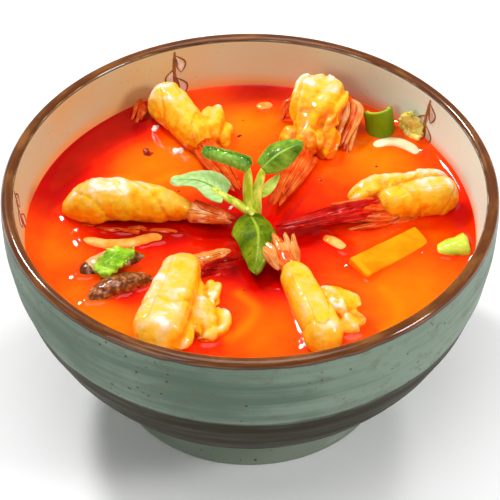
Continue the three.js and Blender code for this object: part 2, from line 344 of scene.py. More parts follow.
@dataclass(frozen=True)
class Glaze:
    """Brushed sage stoneware glaze: brown rim, cream inside, a dark band low on the outside; the right side
    and the foot are painted paler as painted light, and above the soup line is soup stain with a painted
    reflection of the soup.
    """

    sage: Colour = (0.103, 0.158, 0.113)
    pale: Colour = (0.216, 0.284, 0.216)
    dark: Colour = (0.024, 0.018, 0.005)
    umber: Colour = (0.135, 0.118, 0.070)
    # Foot green, set paler as painted light against the shade near the floor.
    foot: Colour = (0.225, 0.265, 0.205)
    rim: Colour = (0.125, 0.034, 0.007)
    rust: Colour = (0.27, 0.098, 0.022)
    line: Colour = (0.05, 0.014, 0.006)
    cream: Colour = (0.62, 0.53, 0.32)
    warm: Colour = (0.68, 0.46, 0.20)
    # Whiter cream on the inside's right side: painted light.
    painted_light_chalk: Colour = (0.82, 0.92, 0.80)
    # Orange above the soup line: soup stain, and a painted reflection of the soup on the wall.
    stain: Colour = (0.95, 0.30, 0.03)
    band_top: float = 63.6 * MM
    band_foot: float = 25.7 * MM
    rim_out: float = 3.5 * MM
    rim_in: float = 2.3 * MM

    def material(self) -> bpy.types.Material:
        """Build the glaze.

        Returns:
            The finished material.
        """
        paint = Paint("bowl_glaze", {"Coat Roughness": 0.06, "Specular IOR Level": 0.11})
        height = paint.axis("Z")
        lip = paint.attribute("lip")
        brush = paint.noise(paint.place((9.0, 9.0, 170.0)), 1.0, 5.0, 0.6)
        cloud = paint.noise(paint.place(), 28.0, 3.0)
        fine = paint.noise(paint.place((60.0, 60.0, 420.0)), 1.0, 3.0)
        wobble = (brush - 0.5) * 9.0 * MM + (cloud - 0.5) * 5.0 * MM
        # Painted light: the right side is paler, in the outside's streaks and on the inside.
        right = paint.axis("X").between(0.0, 0.09)
        wash = (brush * 0.7 + cloud * 0.5 + right * 0.16).between(0.48, 0.80)
        outside = paint.mix(wash, self.sage, self.pale)
        mottle = paint.noise(paint.place((170.0, 170.0, 230.0)), 1.0, 4.0, 0.65).between(0.50, 0.72)
        outside = paint.mix(mottle * 0.45, outside, self.umber)
        band = (height + wobble).between(self.band_top + 1.5 * MM, self.band_top - 2.5 * MM)
        band = band * (height + wobble).between(self.band_foot - 3.0 * MM, self.band_foot + 3.0 * MM)
        # Paler foot: painted light against the shade near the floor.
        lower = paint.mix((height + wobble).between(0.030, 0.022), outside, self.foot)
        streaked = band * (fine * 0.6 + 0.72)
        outside = paint.mix(streaked, lower, self.dark)
        dots = paint.cells(paint.place(), 260.0).between(0.19, 0.09)
        dots = dots * paint.noise(paint.place(), 60.0).between(0.43, 0.56)
        outside = paint.mix(dots * 0.75, outside, self.dark)
        inside = paint.mix(cloud.between(0.35, 0.75), self.cream, self.warm)
        # Painted light: the inside whiter towards the right.
        inside = paint.mix(right, inside, self.painted_light_chalk)
        inside = paint.mix(dots * 0.12, inside, self.rim)
        # Soup stain above the soup line, with a painted reflection of the soup.
        stain_and_soup_reflection = (height + (cloud - 0.5) * 7.0 * MM).between(LEVEL + 8.0 * MM, LEVEL - 0.5 * MM)
        inside = paint.mix(stain_and_soup_reflection * 0.85, inside, self.stain)
        ground = paint.mix(lip.between(-0.2 * MM, 0.2 * MM), outside, inside)
        edge = lip + (paint.noise(paint.place(), 130.0, 3.0) - 0.5) * 1.6 * MM
        rim = edge.between(-self.rim_out - 0.4 * MM, -self.rim_out)
        rim = rim * edge.between(self.rim_in + 0.4 * MM, self.rim_in)
        glow = paint.noise(paint.place((60.0, 60.0, 900.0)), 1.0, 4.0, 0.6).between(0.40, 0.75)
        lip_tone = paint.mix(glow, self.rim, self.rust)
        ring = abs(lip - self.rim_in - 0.5 * MM).between(0.5 * MM, 0.2 * MM)
        ring += abs(edge + self.rim_out + 0.2 * MM).between(0.7 * MM, 0.2 * MM)
        colour = paint.mix(ring * 0.8, paint.mix(rim, ground, lip_tone), self.line)
        relief = brush * 0.7 + fine * 0.3
        return paint.finish(
            {
                "Base Color": colour,
                "Roughness": 0.46 + fine * 0.2 - rim * 0.26,
                "Coat Weight": 0.05 + rim * 0.7,
                "Normal": paint.bump(relief, 0.35 * MM, 0.55),
            }
        )


@dataclass(frozen=True)
class Broth:
    """Oily hot soup: orange in the open pools, red round the prawns and at the wall: red oil, with painted
    shade.
    """

    deep: Colour = (0.42, 0.001, 0.0)
    red: Colour = (0.68, 0.003, 0.0)
    vermilion: Colour = (0.95, 0.030, 0.0)
    orange: Colour = (1.0, 0.125, 0.0)
    gold: Colour = (1.0, 0.25, 0.0)

    def material(self) -> bpy.types.Material:
        """Build the soup.

        Returns:
            The finished material.
        """
        paint = Paint("soup", {"IOR": 1.36, "Specular IOR Level": 0.5})
        drift = paint.noise(paint.place(), 34.0, 4.0, 0.55)
        fine = paint.noise(paint.place(), 160.0, 4.0, 0.6)
        warmth = paint.attribute("warmth") + (drift - 0.5) * 0.35 + (fine - 0.5) * 0.14
        stops = [(0.05, self.deep), (0.24, self.red), (0.42, self.vermilion)]
        colour = paint.ramp(warmth, [*stops, (0.66, self.orange), (0.95, self.gold)])
        grains = paint.cells(paint.place(), 420.0).between(0.16, 0.06)
        grains = grains * paint.noise(paint.place(), 90.0).between(0.52, 0.64)
        colour = paint.mix(grains * 0.7, colour, self.deep)
        sunken = paint.attribute("sunken")
        colour = paint.mix(sunken * 0.55, colour, self.gold)
        ripple = paint.noise(paint.place(), 70.0, 2.0)
        return paint.finish(
            {
                "Base Color": colour,
                "Roughness": 0.03 + fine * 0.05,
                "Normal": paint.bump(ripple, 0.5 * MM, 0.15),
            }
        )


@dataclass(frozen=True)
class Flesh:
    """Wet cooked prawn: cream on top, yellow on the sides, orange at the soup, creases and a vein, with
    painted light on bulges and on the side facing the light, and painted shade in hollows and at the
    waterline.
    """

    ember: Colour = (0.85, 0.07, 0.001)
    orange: Colour = (0.95, 0.34, 0.003)
    gold: Colour = (0.94, 0.44, 0.012)
    yellow: Colour = (0.92, 0.50, 0.022)
    straw: Colour = (0.92, 0.535, 0.11)
    cream: Colour = (0.93, 0.60, 0.31)
    pearl: Colour = (0.97, 0.78, 0.67)
    lemon: Colour = (0.90, 0.55, 0.008)
    rust: Colour = (0.70, 0.22, 0.012)
    brown: Colour = (0.16, 0.045, 0.008)

    def material(self) -> bpy.types.Material:
        """Build the flesh.

        Returns:
            The finished material.
        """
        constants = {
            "Subsurface Weight": 0.15,
            "Subsurface Radius": (1.0, 0.5, 0.15),
            "Subsurface Scale": 0.003,
            "Coat Roughness": 0.05,
            "Specular IOR Level": 0.1,
        }
        paint = Paint("prawn_flesh", constants)
        along, flank, crown = (paint.attribute(name) for name in ("along", "flank", "crown"))
        # sky and swell become painted light and shade: the side facing the light and the bulges paler,
        # hollows darker.
        torn, crease, swell = (paint.attribute(name) for name in ("torn", "crease", "swell"))
        rise, sky, pale = (paint.attribute(name) for name in ("rise", "sky", "pale"))
        patch = paint.noise(paint.place(), 75.0, 3.0, 0.5)
        cloud = paint.noise(paint.place(), 240.0, 4.0, 0.55)
        grit = paint.noise(paint.place(), 620.0, 4.0, 0.6)
        fibre = paint.noise(paint.plane(along * 5.0, flank * 9.0), 1.0, 4.0)
        bands = paint.noise(paint.plane(along * 9.0, flank * 1.2), 1.0, 2.0)
        # The head end is whiter flesh; the tops of torn petals get a painted highlight.
        whiter = (0.45 - along) * 0.45 + pale + torn * (rise.between(0.72, 1.0) * 0.5 + 0.1)
        # sky paints light and shade by how the surface faces; swell paints bulges lighter and hollows darker.
        tone = -0.22 + rise * 0.28 + sky * 0.52 + swell * 0.40 + whiter
        tone = tone + (patch - 0.5) * 0.8 + (bands - 0.5) * 1.15 + (cloud - 0.5) * 0.55 + (grit - 0.5) * 0.2
        stops = [(0.0, self.orange), (0.14, self.gold), (0.32, self.yellow), (0.52, self.straw)]
        colour = paint.ramp(tone, [*stops, (0.70, self.cream), (0.92, self.pearl)])
        tinge = paint.noise(paint.place(), 130.0, 3.0, 0.6).between(0.52, 0.66)
        colour = paint.mix(tinge * (0.35 + crease * 0.4), colour, self.lemon)
        colour = paint.mix(tone.between(-0.12, -0.6) * 0.7, colour, self.ember)
        # Low down the flesh turns orange and ember: soup stain, with painted shade and soup reflection at the
        # waterline.
        soaked_and_shaded = (rise + (patch - 0.5) * 0.5 + (cloud - 0.5) * 0.3).between(0.26, 0.0)
        colour = paint.mix(soaked_and_shaded, colour, paint.mix(soaked_and_shaded, self.orange, self.ember))
        # Painted shade: hollows turn orange, torn ones most.
        colour = paint.mix(swell.between(-0.1, -1.0) * (0.25 + torn * 0.5), colour, self.orange)
        colour = paint.mix(crease * cloud.between(0.42, 0.60) * 0.8, colour, self.rust)
        thread = abs(paint.noise(paint.place(), 65.0, 2.0, 0.6) - 0.5).between(0.035, 0.004)
        colour = paint.mix(thread * cloud.between(0.36, 0.52) * 0.75, colour, self.lemon)
        vein = abs(flank - 0.35 + (patch - 0.5) * 0.5).between(0.05, 0.015)
        vein = vein * crown.between(0.2, 0.5) * fibre.between(0.40, 0.55) * (1.0 - torn)
        colour = paint.mix(vein * 0.25, colour, self.brown)
        specks = paint.cells(paint.place(), 620.0).between(0.20, 0.08) * cloud.between(0.50, 0.42)
        colour = paint.mix(specks * (torn * 0.6 + 0.3), colour, self.brown)
        # Painted shade: the deepest hollows turn rust.
        colour = paint.mix(swell.between(-0.9, -2.2) * 0.5, colour, self.rust)
        relief = cloud * 0.6 + fibre * 0.3 + grit * 0.25
        return paint.finish(
            {
                "Base Color": colour,
                "Roughness": 0.30 + fibre * 0.2,
                "Coat Weight": 0.15 + cloud.between(0.45, 0.62) * 0.65,
                "Normal": paint.bump(relief, 0.6 * MM, 0.8),
            }
        )


@dataclass(frozen=True)
class Shell:
    """Glossy tail shell, streaked along its length from its darkest tone to its lightest."""

    name: str
    tones: tuple[Colour, ...]

    def material(self) -> bpy.types.Material:
        """Build the shell.

        Returns:
            The finished material.
        """
        paint = Paint(self.name, {"Coat Roughness": 0.05, "Specular IOR Level": 0.05})
        along = paint.attribute("along")
        flank = paint.attribute("flank")
        streak = paint.noise(paint.plane(along * 1.6, flank * 7.0), 1.3, 4.0, 0.6)
        cloud = paint.noise(paint.place(), 190.0, 3.0)
        tone = streak * 1.7 + cloud * 0.6 - 0.65
        places = np.linspace(0.2, 0.85, len(self.tones))
        colour = paint.ramp(tone, list(zip(places, self.tones)))
        return paint.finish(
            {
                "Base Color": colour,
                "Roughness": 0.25 + cloud * 0.2,
                "Coat Weight": cloud.between(0.40, 0.58),
                "Normal": paint.bump(streak, 0.8 * MM, 0.8),
            }
        )


@dataclass(frozen=True)
class Greens:
    """Leaf face with a midrib and side veins."""

    name: str
    dark: Colour
    bright: Colour
    rib: Colour
    veins: float = 7.0
    gloss: float = 0.25

    def material(self) -> bpy.types.Material:
        """Build the leaf face.

        Returns:
            The finished material.
        """
        constants = {
            "Subsurface Weight": 0.1,
            "Subsurface Radius": (0.3, 1.0, 0.1),
            "Subsurface Scale": 0.002,
            "Coat Roughness": 0.08,
            "Specular IOR Level": 0.05,
        }
        paint = Paint(self.name, constants)
        along = paint.attribute("along")
        side = abs(paint.attribute("flank"))
        cloud = paint.noise(paint.place(), 160.0, 3.0)
        fine = paint.noise(paint.place(), 700.0, 3.0)
        rib = side.between(0.10, 0.02) * along.between(1.0, 0.6)
        comb = abs(paint.math("FRACT", along * self.veins - side * 1.6) - 0.5)
        veins = comb.between(0.10, 0.0) * side.between(1.0, 0.3)
        tone = cloud * 0.8 + (fine - 0.5) * 0.3 + side * 0.12
        colour = paint.mix(tone.between(0.22, 0.74), self.dark, self.bright)
        colour = paint.mix(rib * 0.75 + veins * 0.25, colour, self.rib)
        relief = 0.0 - rib * 0.8 - veins * 0.5 + fine * 0.15
        return paint.finish(
            {
                "Base Color": colour,
                "Roughness": 0.36 + fine * 0.18,
                "Coat Weight": self.gloss + cloud.between(0.5, 0.7) * 0.4,
                "Normal": paint.bump(relief, 0.5 * MM, 0.7),
            }
        )


@dataclass(frozen=True)
class Produce:
    """Wet cut vegetable, noodle or stem: two tones in streaks or clouds, a third at the soup."""

    name: str
    low: Colour
    high: Colour
    wet: Colour
    grain: Triple = (150.0, 150.0, 150.0)
    contrast: tuple[float, float] = (0.35, 0.7)
    wet_height: float = 2.0 * MM
    relief: float = 0.3 * MM
    gloss: float = 0.5
    roughness: float = 0.3
    painted: bool = False

    def material(self) -> bpy.types.Material:
        """Build the surface; a painted one takes its tone from the mesh as well.

        Returns:
            The finished material.
        """
        constants = {
            "Coat Roughness": 0.06,
            "Subsurface Weight": 0.08,
            "Subsurface Scale": 0.002,
            "Specular IOR Level": 0.05,
        }
        paint = Paint(self.name, constants)
        cloud = paint.noise(paint.place(self.grain), 1.0, 4.0, 0.55)
        fine = paint.noise(paint.place(), 620.0, 3.0)
        tone = cloud + (paint.attribute("tint") if self.painted else 0.0)
        colour = paint.mix(tone.between(*self.contrast), self.low, self.high)
        depth = paint.axis("Z") - LEVEL + (cloud - 0.5) * 1.5 * MM
        colour = paint.mix(depth.between(self.wet_height, 0.0) * 0.85, colour, self.wet)
        return paint.finish(
            {
                "Base Color": colour,
                "Roughness": self.roughness + fine * 0.15,
                "Coat Weight": self.gloss * (cloud * 0.8 + 0.7),
                "Normal": paint.bump(cloud * 0.7 + fine * 0.3, self.relief, 0.7),
            }
        )


@dataclass(frozen=True)
class Clear:
    """Drop of clear water."""

    name: str = "water_drop"
    tint: Colour = (0.97, 1.0, 0.95)

    def material(self) -> bpy.types.Material:
        """Build the water.

        Returns:
            The finished material.
        """
        paint = Paint(self.name, {"Transmission Weight": 1.0, "IOR": 1.33, "Specular IOR Level": 0.5})
        ripple = paint.noise(paint.place(), 900.0)
        return paint.finish({"Roughness": ripple * 0.04, "Base Color": self.tint})


@dataclass(frozen=True)
class Paper:
    """Pale floor of the studio."""

    white: Colour = (0.97, 0.97, 0.97)
    grey: Colour = (0.86, 0.86, 0.85)

    def material(self) -> bpy.types.Material:
        """Build the floor's surface.

        Returns:
            The finished material.
        """
        paint = Paint("floor", {"Specular IOR Level": 0.0})
        shade = paint.noise(paint.place(), 9.0, 2.0).between(0.0, 1.0)
        soft = paint.mix(shade * 0.06, self.white, self.grey)
        return paint.finish({"Base Color": soft, "Roughness": 0.7 + shade * 0.1})


class Bench:
    """Where new meshes are shaped: one object at a time, in edit mode."""

    @staticmethod
    def clear() -> None:
        """Leave edit mode and drop the selection."""
        if bpy.context.object and bpy.context.object.mode != "OBJECT":
            bpy.ops.object.mode_set(mode="OBJECT")
        bpy.ops.object.select_all(action="DESELECT")

    @staticmethod
    def take(name: str) -> bpy.types.Object:
        """Name the object just added, put its place into its mesh, and open it for editing.

        Args:
            name: what to call it.

        Returns:
            The object, in edit mode.
        """
        bpy.ops.object.transform_apply(location=True, rotation=True, scale=True)
        made = bpy.context.object
        made.name = name
        made.data.name = name
        bpy.ops.object.mode_set(mode="EDIT")
        bpy.ops.mesh.select_all(action="SELECT")
        return made

    @staticmethod
    def close() -> None:
        """Join doubled corners, turn every face outward and leave edit mode."""
        bpy.ops.mesh.select_all(action="SELECT")
        bpy.ops.mesh.remove_doubles(threshold=1e-6)
        bpy.ops.mesh.normals_make_consistent(inside=False)
        bpy.ops.object.mode_set(mode="OBJECT")

    @staticmethod
    def turn(name: str, profile: np.ndarray, steps: int) -> bpy.types.Object:
        """Draw a profile point by point and turn it about the upright axis.

        Args:
            name: the new object's name.
            profile: radius and height of each point.
            steps: how many steps make the full turn.

        Returns:
            The turned object.
        """
        Bench.clear()
        bpy.ops.mesh.primitive_plane_add(size=MM, location=(profile[0][0], 0.0, profile[0][1]))
        made = Bench.take(name)
        bpy.ops.mesh.merge(type="COLLAPSE")
        for before, after in zip(profile, profile[1:]):
            step = (after[0] - before[0], 0.0, after[1] - before[1])
            bpy.ops.mesh.extrude_vertices_move(TRANSFORM_OT_translate={"value": step})
        bpy.ops.mesh.select_all(action="SELECT")
        bpy.ops.mesh.spin(steps=steps, angle=FULL_TURN, center=(0.0, 0.0, 0.0), axis=UP)
        Bench.close()
        return made

    @staticmethod
    def set_down(piece: bpy.types.Object, place: Vector, turns: Triple) -> None:
        """Turn a piece and move it to its place, in its mesh.

        Args:
            piece: the object, at the origin.
            place: where it goes.
            turns: degrees about each axis.
        """
        Bench.only(piece)
        piece.rotation_euler = [math.radians(a) for a in turns]
        piece.location = place
        bpy.ops.object.transform_apply(location=True, rotation=True, scale=True)

    @staticmethod
    def only(piece: bpy.types.Object) -> None:
        """Select one object and make it the active one.

        Args:
            piece: the object.
        """
        Bench.clear()
        piece.select_set(True)
        bpy.context.view_layer.objects.active = piece

    @staticmethod
    def corners(piece: bpy.types.Object) -> np.ndarray:
        """Corner places of a mesh.

        Args:
            piece: the mesh.

        Returns:
            A row for each corner.
        """
        flat = np.empty(len(piece.data.vertices) * 3)
        piece.data.vertices.foreach_get("co", flat)
        return flat.reshape(-1, 3)

    @staticmethod
    def move(piece: bpy.types.Object, places: np.ndarray) -> None:
        """Put the corners of a mesh at new places."""
        piece.data.vertices.foreach_set("co", places.ravel())
        piece.data.update()

    @staticmethod
    def note(piece: bpy.types.Object, name: str, values: np.ndarray) -> None:
        """Write a number on every corner, for the materials to read."""
        piece.data.attributes.new(name, "FLOAT", "POINT").data.foreach_set("value", values.astype(np.float32))

    @staticmethod
    def read(piece: bpy.types.Object, name: str) -> np.ndarray:
        """Numbers noted on the corners.

        Args:
            piece: the mesh.
            name: what was noted.

        Returns:
            A number for each corner.
        """
        values = np.empty(len(piece.data.vertices), dtype=np.float32)
        piece.data.attributes[name].data.foreach_get("value", values)
        return values

    @staticmethod
    def normals(piece: bpy.types.Object) -> np.ndarray:
        """Outward directions at the corners.

        Args:
            piece: the mesh.

        Returns:
            A row for each corner.
        """
        flat = np.empty(len(piece.data.vertices) * 3)
        piece.data.vertices.foreach_get("normal", flat)
        return flat.reshape(-1, 3)

    @staticmethod
    def swelling(piece: bpy.types.Object, rounds: int, unit: float) -> np.ndarray:
        """How far each corner stands out from those next to it.

        Args:
            piece: the mesh.
            rounds: how often the result is evened out over the neighbours.
            unit: distance that counts as 1.

        Returns:
            A number for each corner, below 0 in hollows.
        """
        ends = np.empty(len(piece.data.edges) * 2, dtype=np.int32)
        piece.data.edges.foreach_get("vertices", ends)
        first, last = np.r_[ends[::2], ends[1::2]], np.r_[ends[1::2], ends[::2]]
        count = np.maximum(np.bincount(first, minlength=len(piece.data.vertices)), 1)
        places = Bench.corners(piece)
        means = [np.bincount(first, places[last, axis], len(count)) / count for axis in range(3)]
        out = np.sum((places - np.stack(means, axis=1)) * Bench.normals(piece), axis=1) / unit
        for _ in range(rounds):
            out = 0.5 * out + 0.5 * np.bincount(first, out[last], len(count)) / count
        return out

    @staticmethod
    def coat(piece: bpy.types.Object, *looks: bpy.types.Material) -> None:
        """Give a piece these materials; with one, every face takes it.

        Args:
            piece: the mesh.
            *looks: the materials, in order.
        """
        piece.data.materials.clear()
        for look in looks:
            piece.data.materials.append(look)
        if len(looks) == 1:
            piece.data.polygons.foreach_set("material_index", [0] * len(piece.data.polygons))

    @staticmethod
    def apply(piece: bpy.types.Object, kind: str, **settings: object) -> None:
        """Add a modifier, set it and apply it.

        Args:
            piece: the mesh.
            kind: type of the modifier.
            **settings: its properties.
        """
        Bench.only(piece)
        modifier = piece.modifiers.new(kind.lower(), kind)
        for label, value in settings.items():
            setattr(modifier, label, value)
        bpy.ops.object.modifier_apply(modifier=modifier.name)

    @staticmethod
    def roughen(piece: bpy.types.Object, size: float, depth: float) -> None:
        """Raise and sink the surface in lumps.

        Args:
            piece: the mesh.
            size: width of a lump.
            depth: height from the lowest to the highest place.
        """
        texture = bpy.data.textures.new("lumps", "CLOUDS")
        texture.noise_scale = size
        settings = {"strength": depth, "mid_level": 0.5, "texture_coords": "LOCAL"}
        Bench.apply(piece, "DISPLACE", texture=texture, **settings)

    @staticmethod
    def subdivide(piece: bpy.types.Object, levels: int) -> None:
        """Round a mesh off by subdivision."""
        Bench.apply(piece, "SUBSURF", levels=levels, render_levels=levels)

    @staticmethod
    def join(name: str, pieces: Sequence[bpy.types.Object]) -> bpy.types.Object:
        """Make one object of several.

        Args:
            name: what to call it.
            pieces: the objects.

        Returns:
            The first of them, with all.
        """
        Bench.only(pieces[0])
        for piece in pieces[1:]:
            piece.select_set(True)
        bpy.ops.object.join()
        pieces[0].name = name
        pieces[0].data.name = name
        return pieces[0]

    @staticmethod
    def hand_over(piece: bpy.types.Object, slot: str, *nodes: str) -> bpy.types.Object:
        """Smooth a finished piece, let it ride the frame and stand for its solids.

        Args:
            piece: the object.
            slot: the name of its material slot; not used.
            *nodes: the solids it stands for.

        Returns:
            The finished piece.
        """
        Bench.only(piece)
        bpy.ops.object.shade_smooth()
        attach(piece, "root")
        if nodes:
            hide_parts(*nodes)
        LOG.info("%s: %d faces", piece.name, len(piece.data.polygons))
        return piece


@dataclass
class Lobe:
    """Rounded body along a run: rings drawn out one after another, then bent to the run."""

    name: str
    run: Sequence[Vector]
    half: tuple[float, float]
    taper: Callable[[float], float] = steady
    sides: int = 28
    rings: int = 40
    blunt: float = 2.2
    square: float = 2.0
    crowding: float = 0.62
    end_share: float = 0.0006
    reach_out: float = 1.4

    def build(self) -> bpy.types.Object:
        """Make the body, with its share along, its crown and its flank noted on it.

        Returns:
            The bent body.
        """
        path = Path(self.run)
        steps = np.linspace(0.0, 1.0, self.rings + 1)
        shares = steps - self.crowding * np.sin(FULL_TURN * steps) / FULL_TURN
        shares = np.clip(shares, self.end_share, 1.0 - self.end_share)
        sizes = [self._size(s) for s in shares]
        Bench.clear()
        turn = (0.0, math.pi / 2, 0.0)
        bpy.ops.mesh.primitive_circle_add(vertices=self.sides, radius=1.0, fill_type="NGON", rotation=turn)
        body = Bench.take(self.name)
        bpy.ops.transform.translate(value=(shares[0] * path.length, 0.0, 0.0))
        here = (shares[0] * path.length, 0.0, 0.0)
        bpy.ops.transform.resize(value=(1.0, *sizes[0]), center_override=here)
        for k in range(1, len(shares)):
            step = ((shares[k] - shares[k - 1]) * path.length, 0.0, 0.0)
            here = (shares[k] * path.length, 0.0, 0.0)
            bpy.ops.mesh.extrude_region_move(TRANSFORM_OT_translate={"value": step})
            growth = (1.0, sizes[k][0] / sizes[k - 1][0], sizes[k][1] / sizes[k - 1][1])
            bpy.ops.transform.resize(value=growth, center_override=here)
        Bench.close()
        straight = Bench.corners(body)
        along = straight[:, 0] / path.length
        flank = straight[:, 1] / np.interp(along, shares, [w for w, _ in sizes])
        crown = straight[:, 2] / np.interp(along, shares, [h for _, h in sizes])
        for label, values in {"along": along, "flank": flank, "crown": crown}.items():
            Bench.note(body, label, values)
        round_off = np.abs(flank) ** self.square + np.abs(crown) ** self.square + 1e-9
        straight[:, 1:] *= np.minimum(round_off ** (-1.0 / self.square), self.reach_out)[:, None]
        Bench.move(body, straight)
        self._bend(body, path)
        return body

    def _size(self, share: float) -> tuple[float, float]:
        """Half width and half height of the ring at a share."""
        rounded = min(1.0, math.sqrt(math.sin(math.pi * share) * self.blunt))
        return tuple(rounded * (half * self.taper(share)) for half in self.half)

    @staticmethod
    def _bend(body: bpy.types.Object, path: Path) -> None:
        """Lay the straight body along its run.

        Args:
            body: the mesh, along the first axis.
            path: the run.
        """
        line = bpy.data.curves.new("run", "CURVE")
        line.dimensions = "3D"
        line.twist_mode = "Z_UP"
        spline = line.splines.new("POLY")
        spline.points.add(len(path.samples) - 1)
        spline.points.foreach_set("co", np.c_[path.samples, np.ones(len(path.samples))].ravel())
        guide = bpy.data.objects.new("run", line)
        bpy.context.collection.objects.link(guide)
        Bench.apply(body, "CURVE", object=guide, deform_axis="POS_X")
        bpy.data.objects.remove(guide)


@dataclass
class Blade:
    """Leaf-shaped sheet on a midrib: its edges curl down and ripple, its veins are sunk."""

    WAVES = 9.0
    FRILLS = 31.0
    SIDE_VEINS = 7.0
    RIB_WIDTH = 0.07
    VEIN_WIDTH = 0.09
    TIP_SHARE = 0.07

    name: str
    rib: Sequence[Vector]
    half: float
    curl: float
    ripple: float = 0.0
    thickness: float = 0.9 * MM
    up: Vector = field(default_factory=UP.copy)
    along: int = 36
    across: int = 20
    veins: float = 0.0
    tip: float = 0.25 * MM
    frill: float = 0.0
    fold: float = 0.0
    skew: float = 0.85
    lean: float = 0.0

    def build(self) -> bpy.types.Object:
        """Make the sheet, with its share along and its flank noted on it.

        Returns:
            The thick sheet.
        """
        Bench.clear()
        bpy.ops.mesh.primitive_grid_add(x_subdivisions=self.along, y_subdivisions=self.across, size=1.0)
        sheet = Bench.take(self.name)
        bpy.ops.object.mode_set(mode="OBJECT")
        flat = Bench.corners(sheet)
        u, v = flat[:, 0] + 0.5, 2.0 * flat[:, 1]
        Bench.note(sheet, "along", u)
        Bench.note(sheet, "flank", v)
        place, across, normal = Path(self.rib).frames(u, self.up)
        share = np.minimum(0.97, 0.04 + 0.93 * u) ** self.skew
        wide = self.tip + self.half * np.sin(np.pi * share) ** 0.8 * (1.0 + self.lean * np.sign(v))
        wide *= np.sqrt(np.clip((1.0 - u) / self.TIP_SHARE, 0.01, 1.0))
        bend = math.radians(self.curl)
        wave = self.ripple * np.sin(self.WAVES * u + 2.1 * v) * v * v
        wave += self.frill * np.sin(self.FRILLS * u + 4.0 * v) * np.abs(v) ** 2.5
        comb = np.abs((self.SIDE_VEINS * u - 1.6 * np.abs(v)) % 1.0 - 0.5)
        sunk = np.exp(-((v / self.RIB_WIDTH) ** 2)) + 0.5 * np.exp(-((comb / self.VEIN_WIDTH) ** 2))
        wave -= self.veins * sunk
        wave -= self.fold * np.abs(v) * np.sin(np.pi * u)
        sideways = wide * np.sin(bend * v) / bend
        drop = wave - wide * (1.0 - np.cos(bend * v)) / bend
        Bench.move(sheet, place + across * sideways[:, None] + normal * drop[:, None])
        Bench.apply(sheet, "SOLIDIFY", thickness=self.thickness, offset=0.0, material_offset=1)
        return sheet


@dataclass
class Bowl:
    """Thrown stoneware bowl on a flared foot, turned from one profile."""

    glaze: Glaze = field(default_factory=Glaze)
    rim_radius: float = 95.0
    height: float = 98.2
    lip_radius: float = 2.5
    waist_radius: float = 49.9
    foot_radius: float = 55.6
    foot_height: float = 11.5
    flare: tuple[float, float] = (50.8, 4.5)
    belly: tuple[tuple[float, float], ...] = ((73.7, 23.3), (96.7, 53.0))
    recess_radius: float = 45.0
    recess_depth: float = 6.0
    wall_bend: tuple[float, float] = (84.5, 43.0)
    floor_radius: float = 64.0
    floor_height: float = 16.0
    ridge: float = 0.16
    turns: int = 168

    def inner_wall(self, count: int) -> np.ndarray:
        """Inner wall from the lip down to the middle of the floor.

        Args:
            count: how many stretches to cut it into.

        Returns:
            Radius and height of each point, in millimetres.
        """
        top = (self.rim_radius - 2 * self.lip_radius, self.height - self.lip_radius)
        heel, middle = (self.floor_radius, self.floor_height), (0.0, self.floor_height)
        return bezier([top, self.wall_bend, heel, middle], count)

    def wall_radius(self, height: float) -> float:
        """Inner radius at a height, in millimetres."""
        wall = self.inner_wall(400)[::-1]
        return float(np.interp(height, wall[:, 1], wall[:, 0]))

    def profile(self) -> tuple[np.ndarray, int]:
        """Profile from the middle of the recess round to the middle of the floor.

        Returns:
            Radius and height of each point, and which point is the lip's crest.
        """
        lip_height = self.height - self.lip_radius
        inner, deep, outer = self.recess_radius, self.recess_depth, self.foot_radius
        recess = [(0.0, deep), (30.0, deep), (inner - 2.0, deep), (inner - 0.8, deep - 1.4)]
        recess += [(inner - 0.2, 0.5), (inner + 0.4, 0.0)]
        recess += [(50.0, 0.0), (outer - 1.0, 0.0), (outer - 0.3, 0.3)]
        waist = (self.waist_radius, self.foot_height)
        foot = bezier([(outer, 1.0), self.flare, waist], 10)
        body = bezier([waist, *self.belly, (self.rim_radius, lip_height)], 64)
        rings = np.sin(body[:, 1] * 1.05) * 0.6 + np.sin(body[:, 1] * 0.47 + 1.0)
        body[:, 0] += self.ridge * rings * np.sin(np.linspace(0.0, np.pi, len(body))) ** 0.5
        angle = np.linspace(0.0, np.pi, 15)[1:-1]
        centre = self.rim_radius - self.lip_radius
        lip = np.c_[centre + self.lip_radius * np.cos(angle), lip_height + self.lip_radius * np.sin(angle)]
        whole = np.vstack([recess, foot, body[1:], lip, self.inner_wall(44)])
        return whole * MM, len(recess) + len(foot) + len(body) - 1 + len(lip) // 2

    def build(self) -> bpy.types.Object:
        """Turn the bowl and glaze it.

        Returns:
            The finished piece.
        """
        profile, crest = self.profile()
        bowl = Bench.turn("bowl_dressed", profile, self.turns)
        places = Bench.corners(bowl)
        flat = np.c_[np.hypot(places[:, 0], places[:, 1]), places[:, 2]]
        nearest = np.argmin(np.linalg.norm(flat[:, None, :] - profile[None, :, :], axis=2), axis=1)
        reach = reach_along(profile)
        Bench.note(bowl, "lip", reach[nearest] - reach[crest])
        bowl.data.materials.append(self.glaze.material())
        return Bench.hand_over(bowl, "bowl_glaze", "bowl")


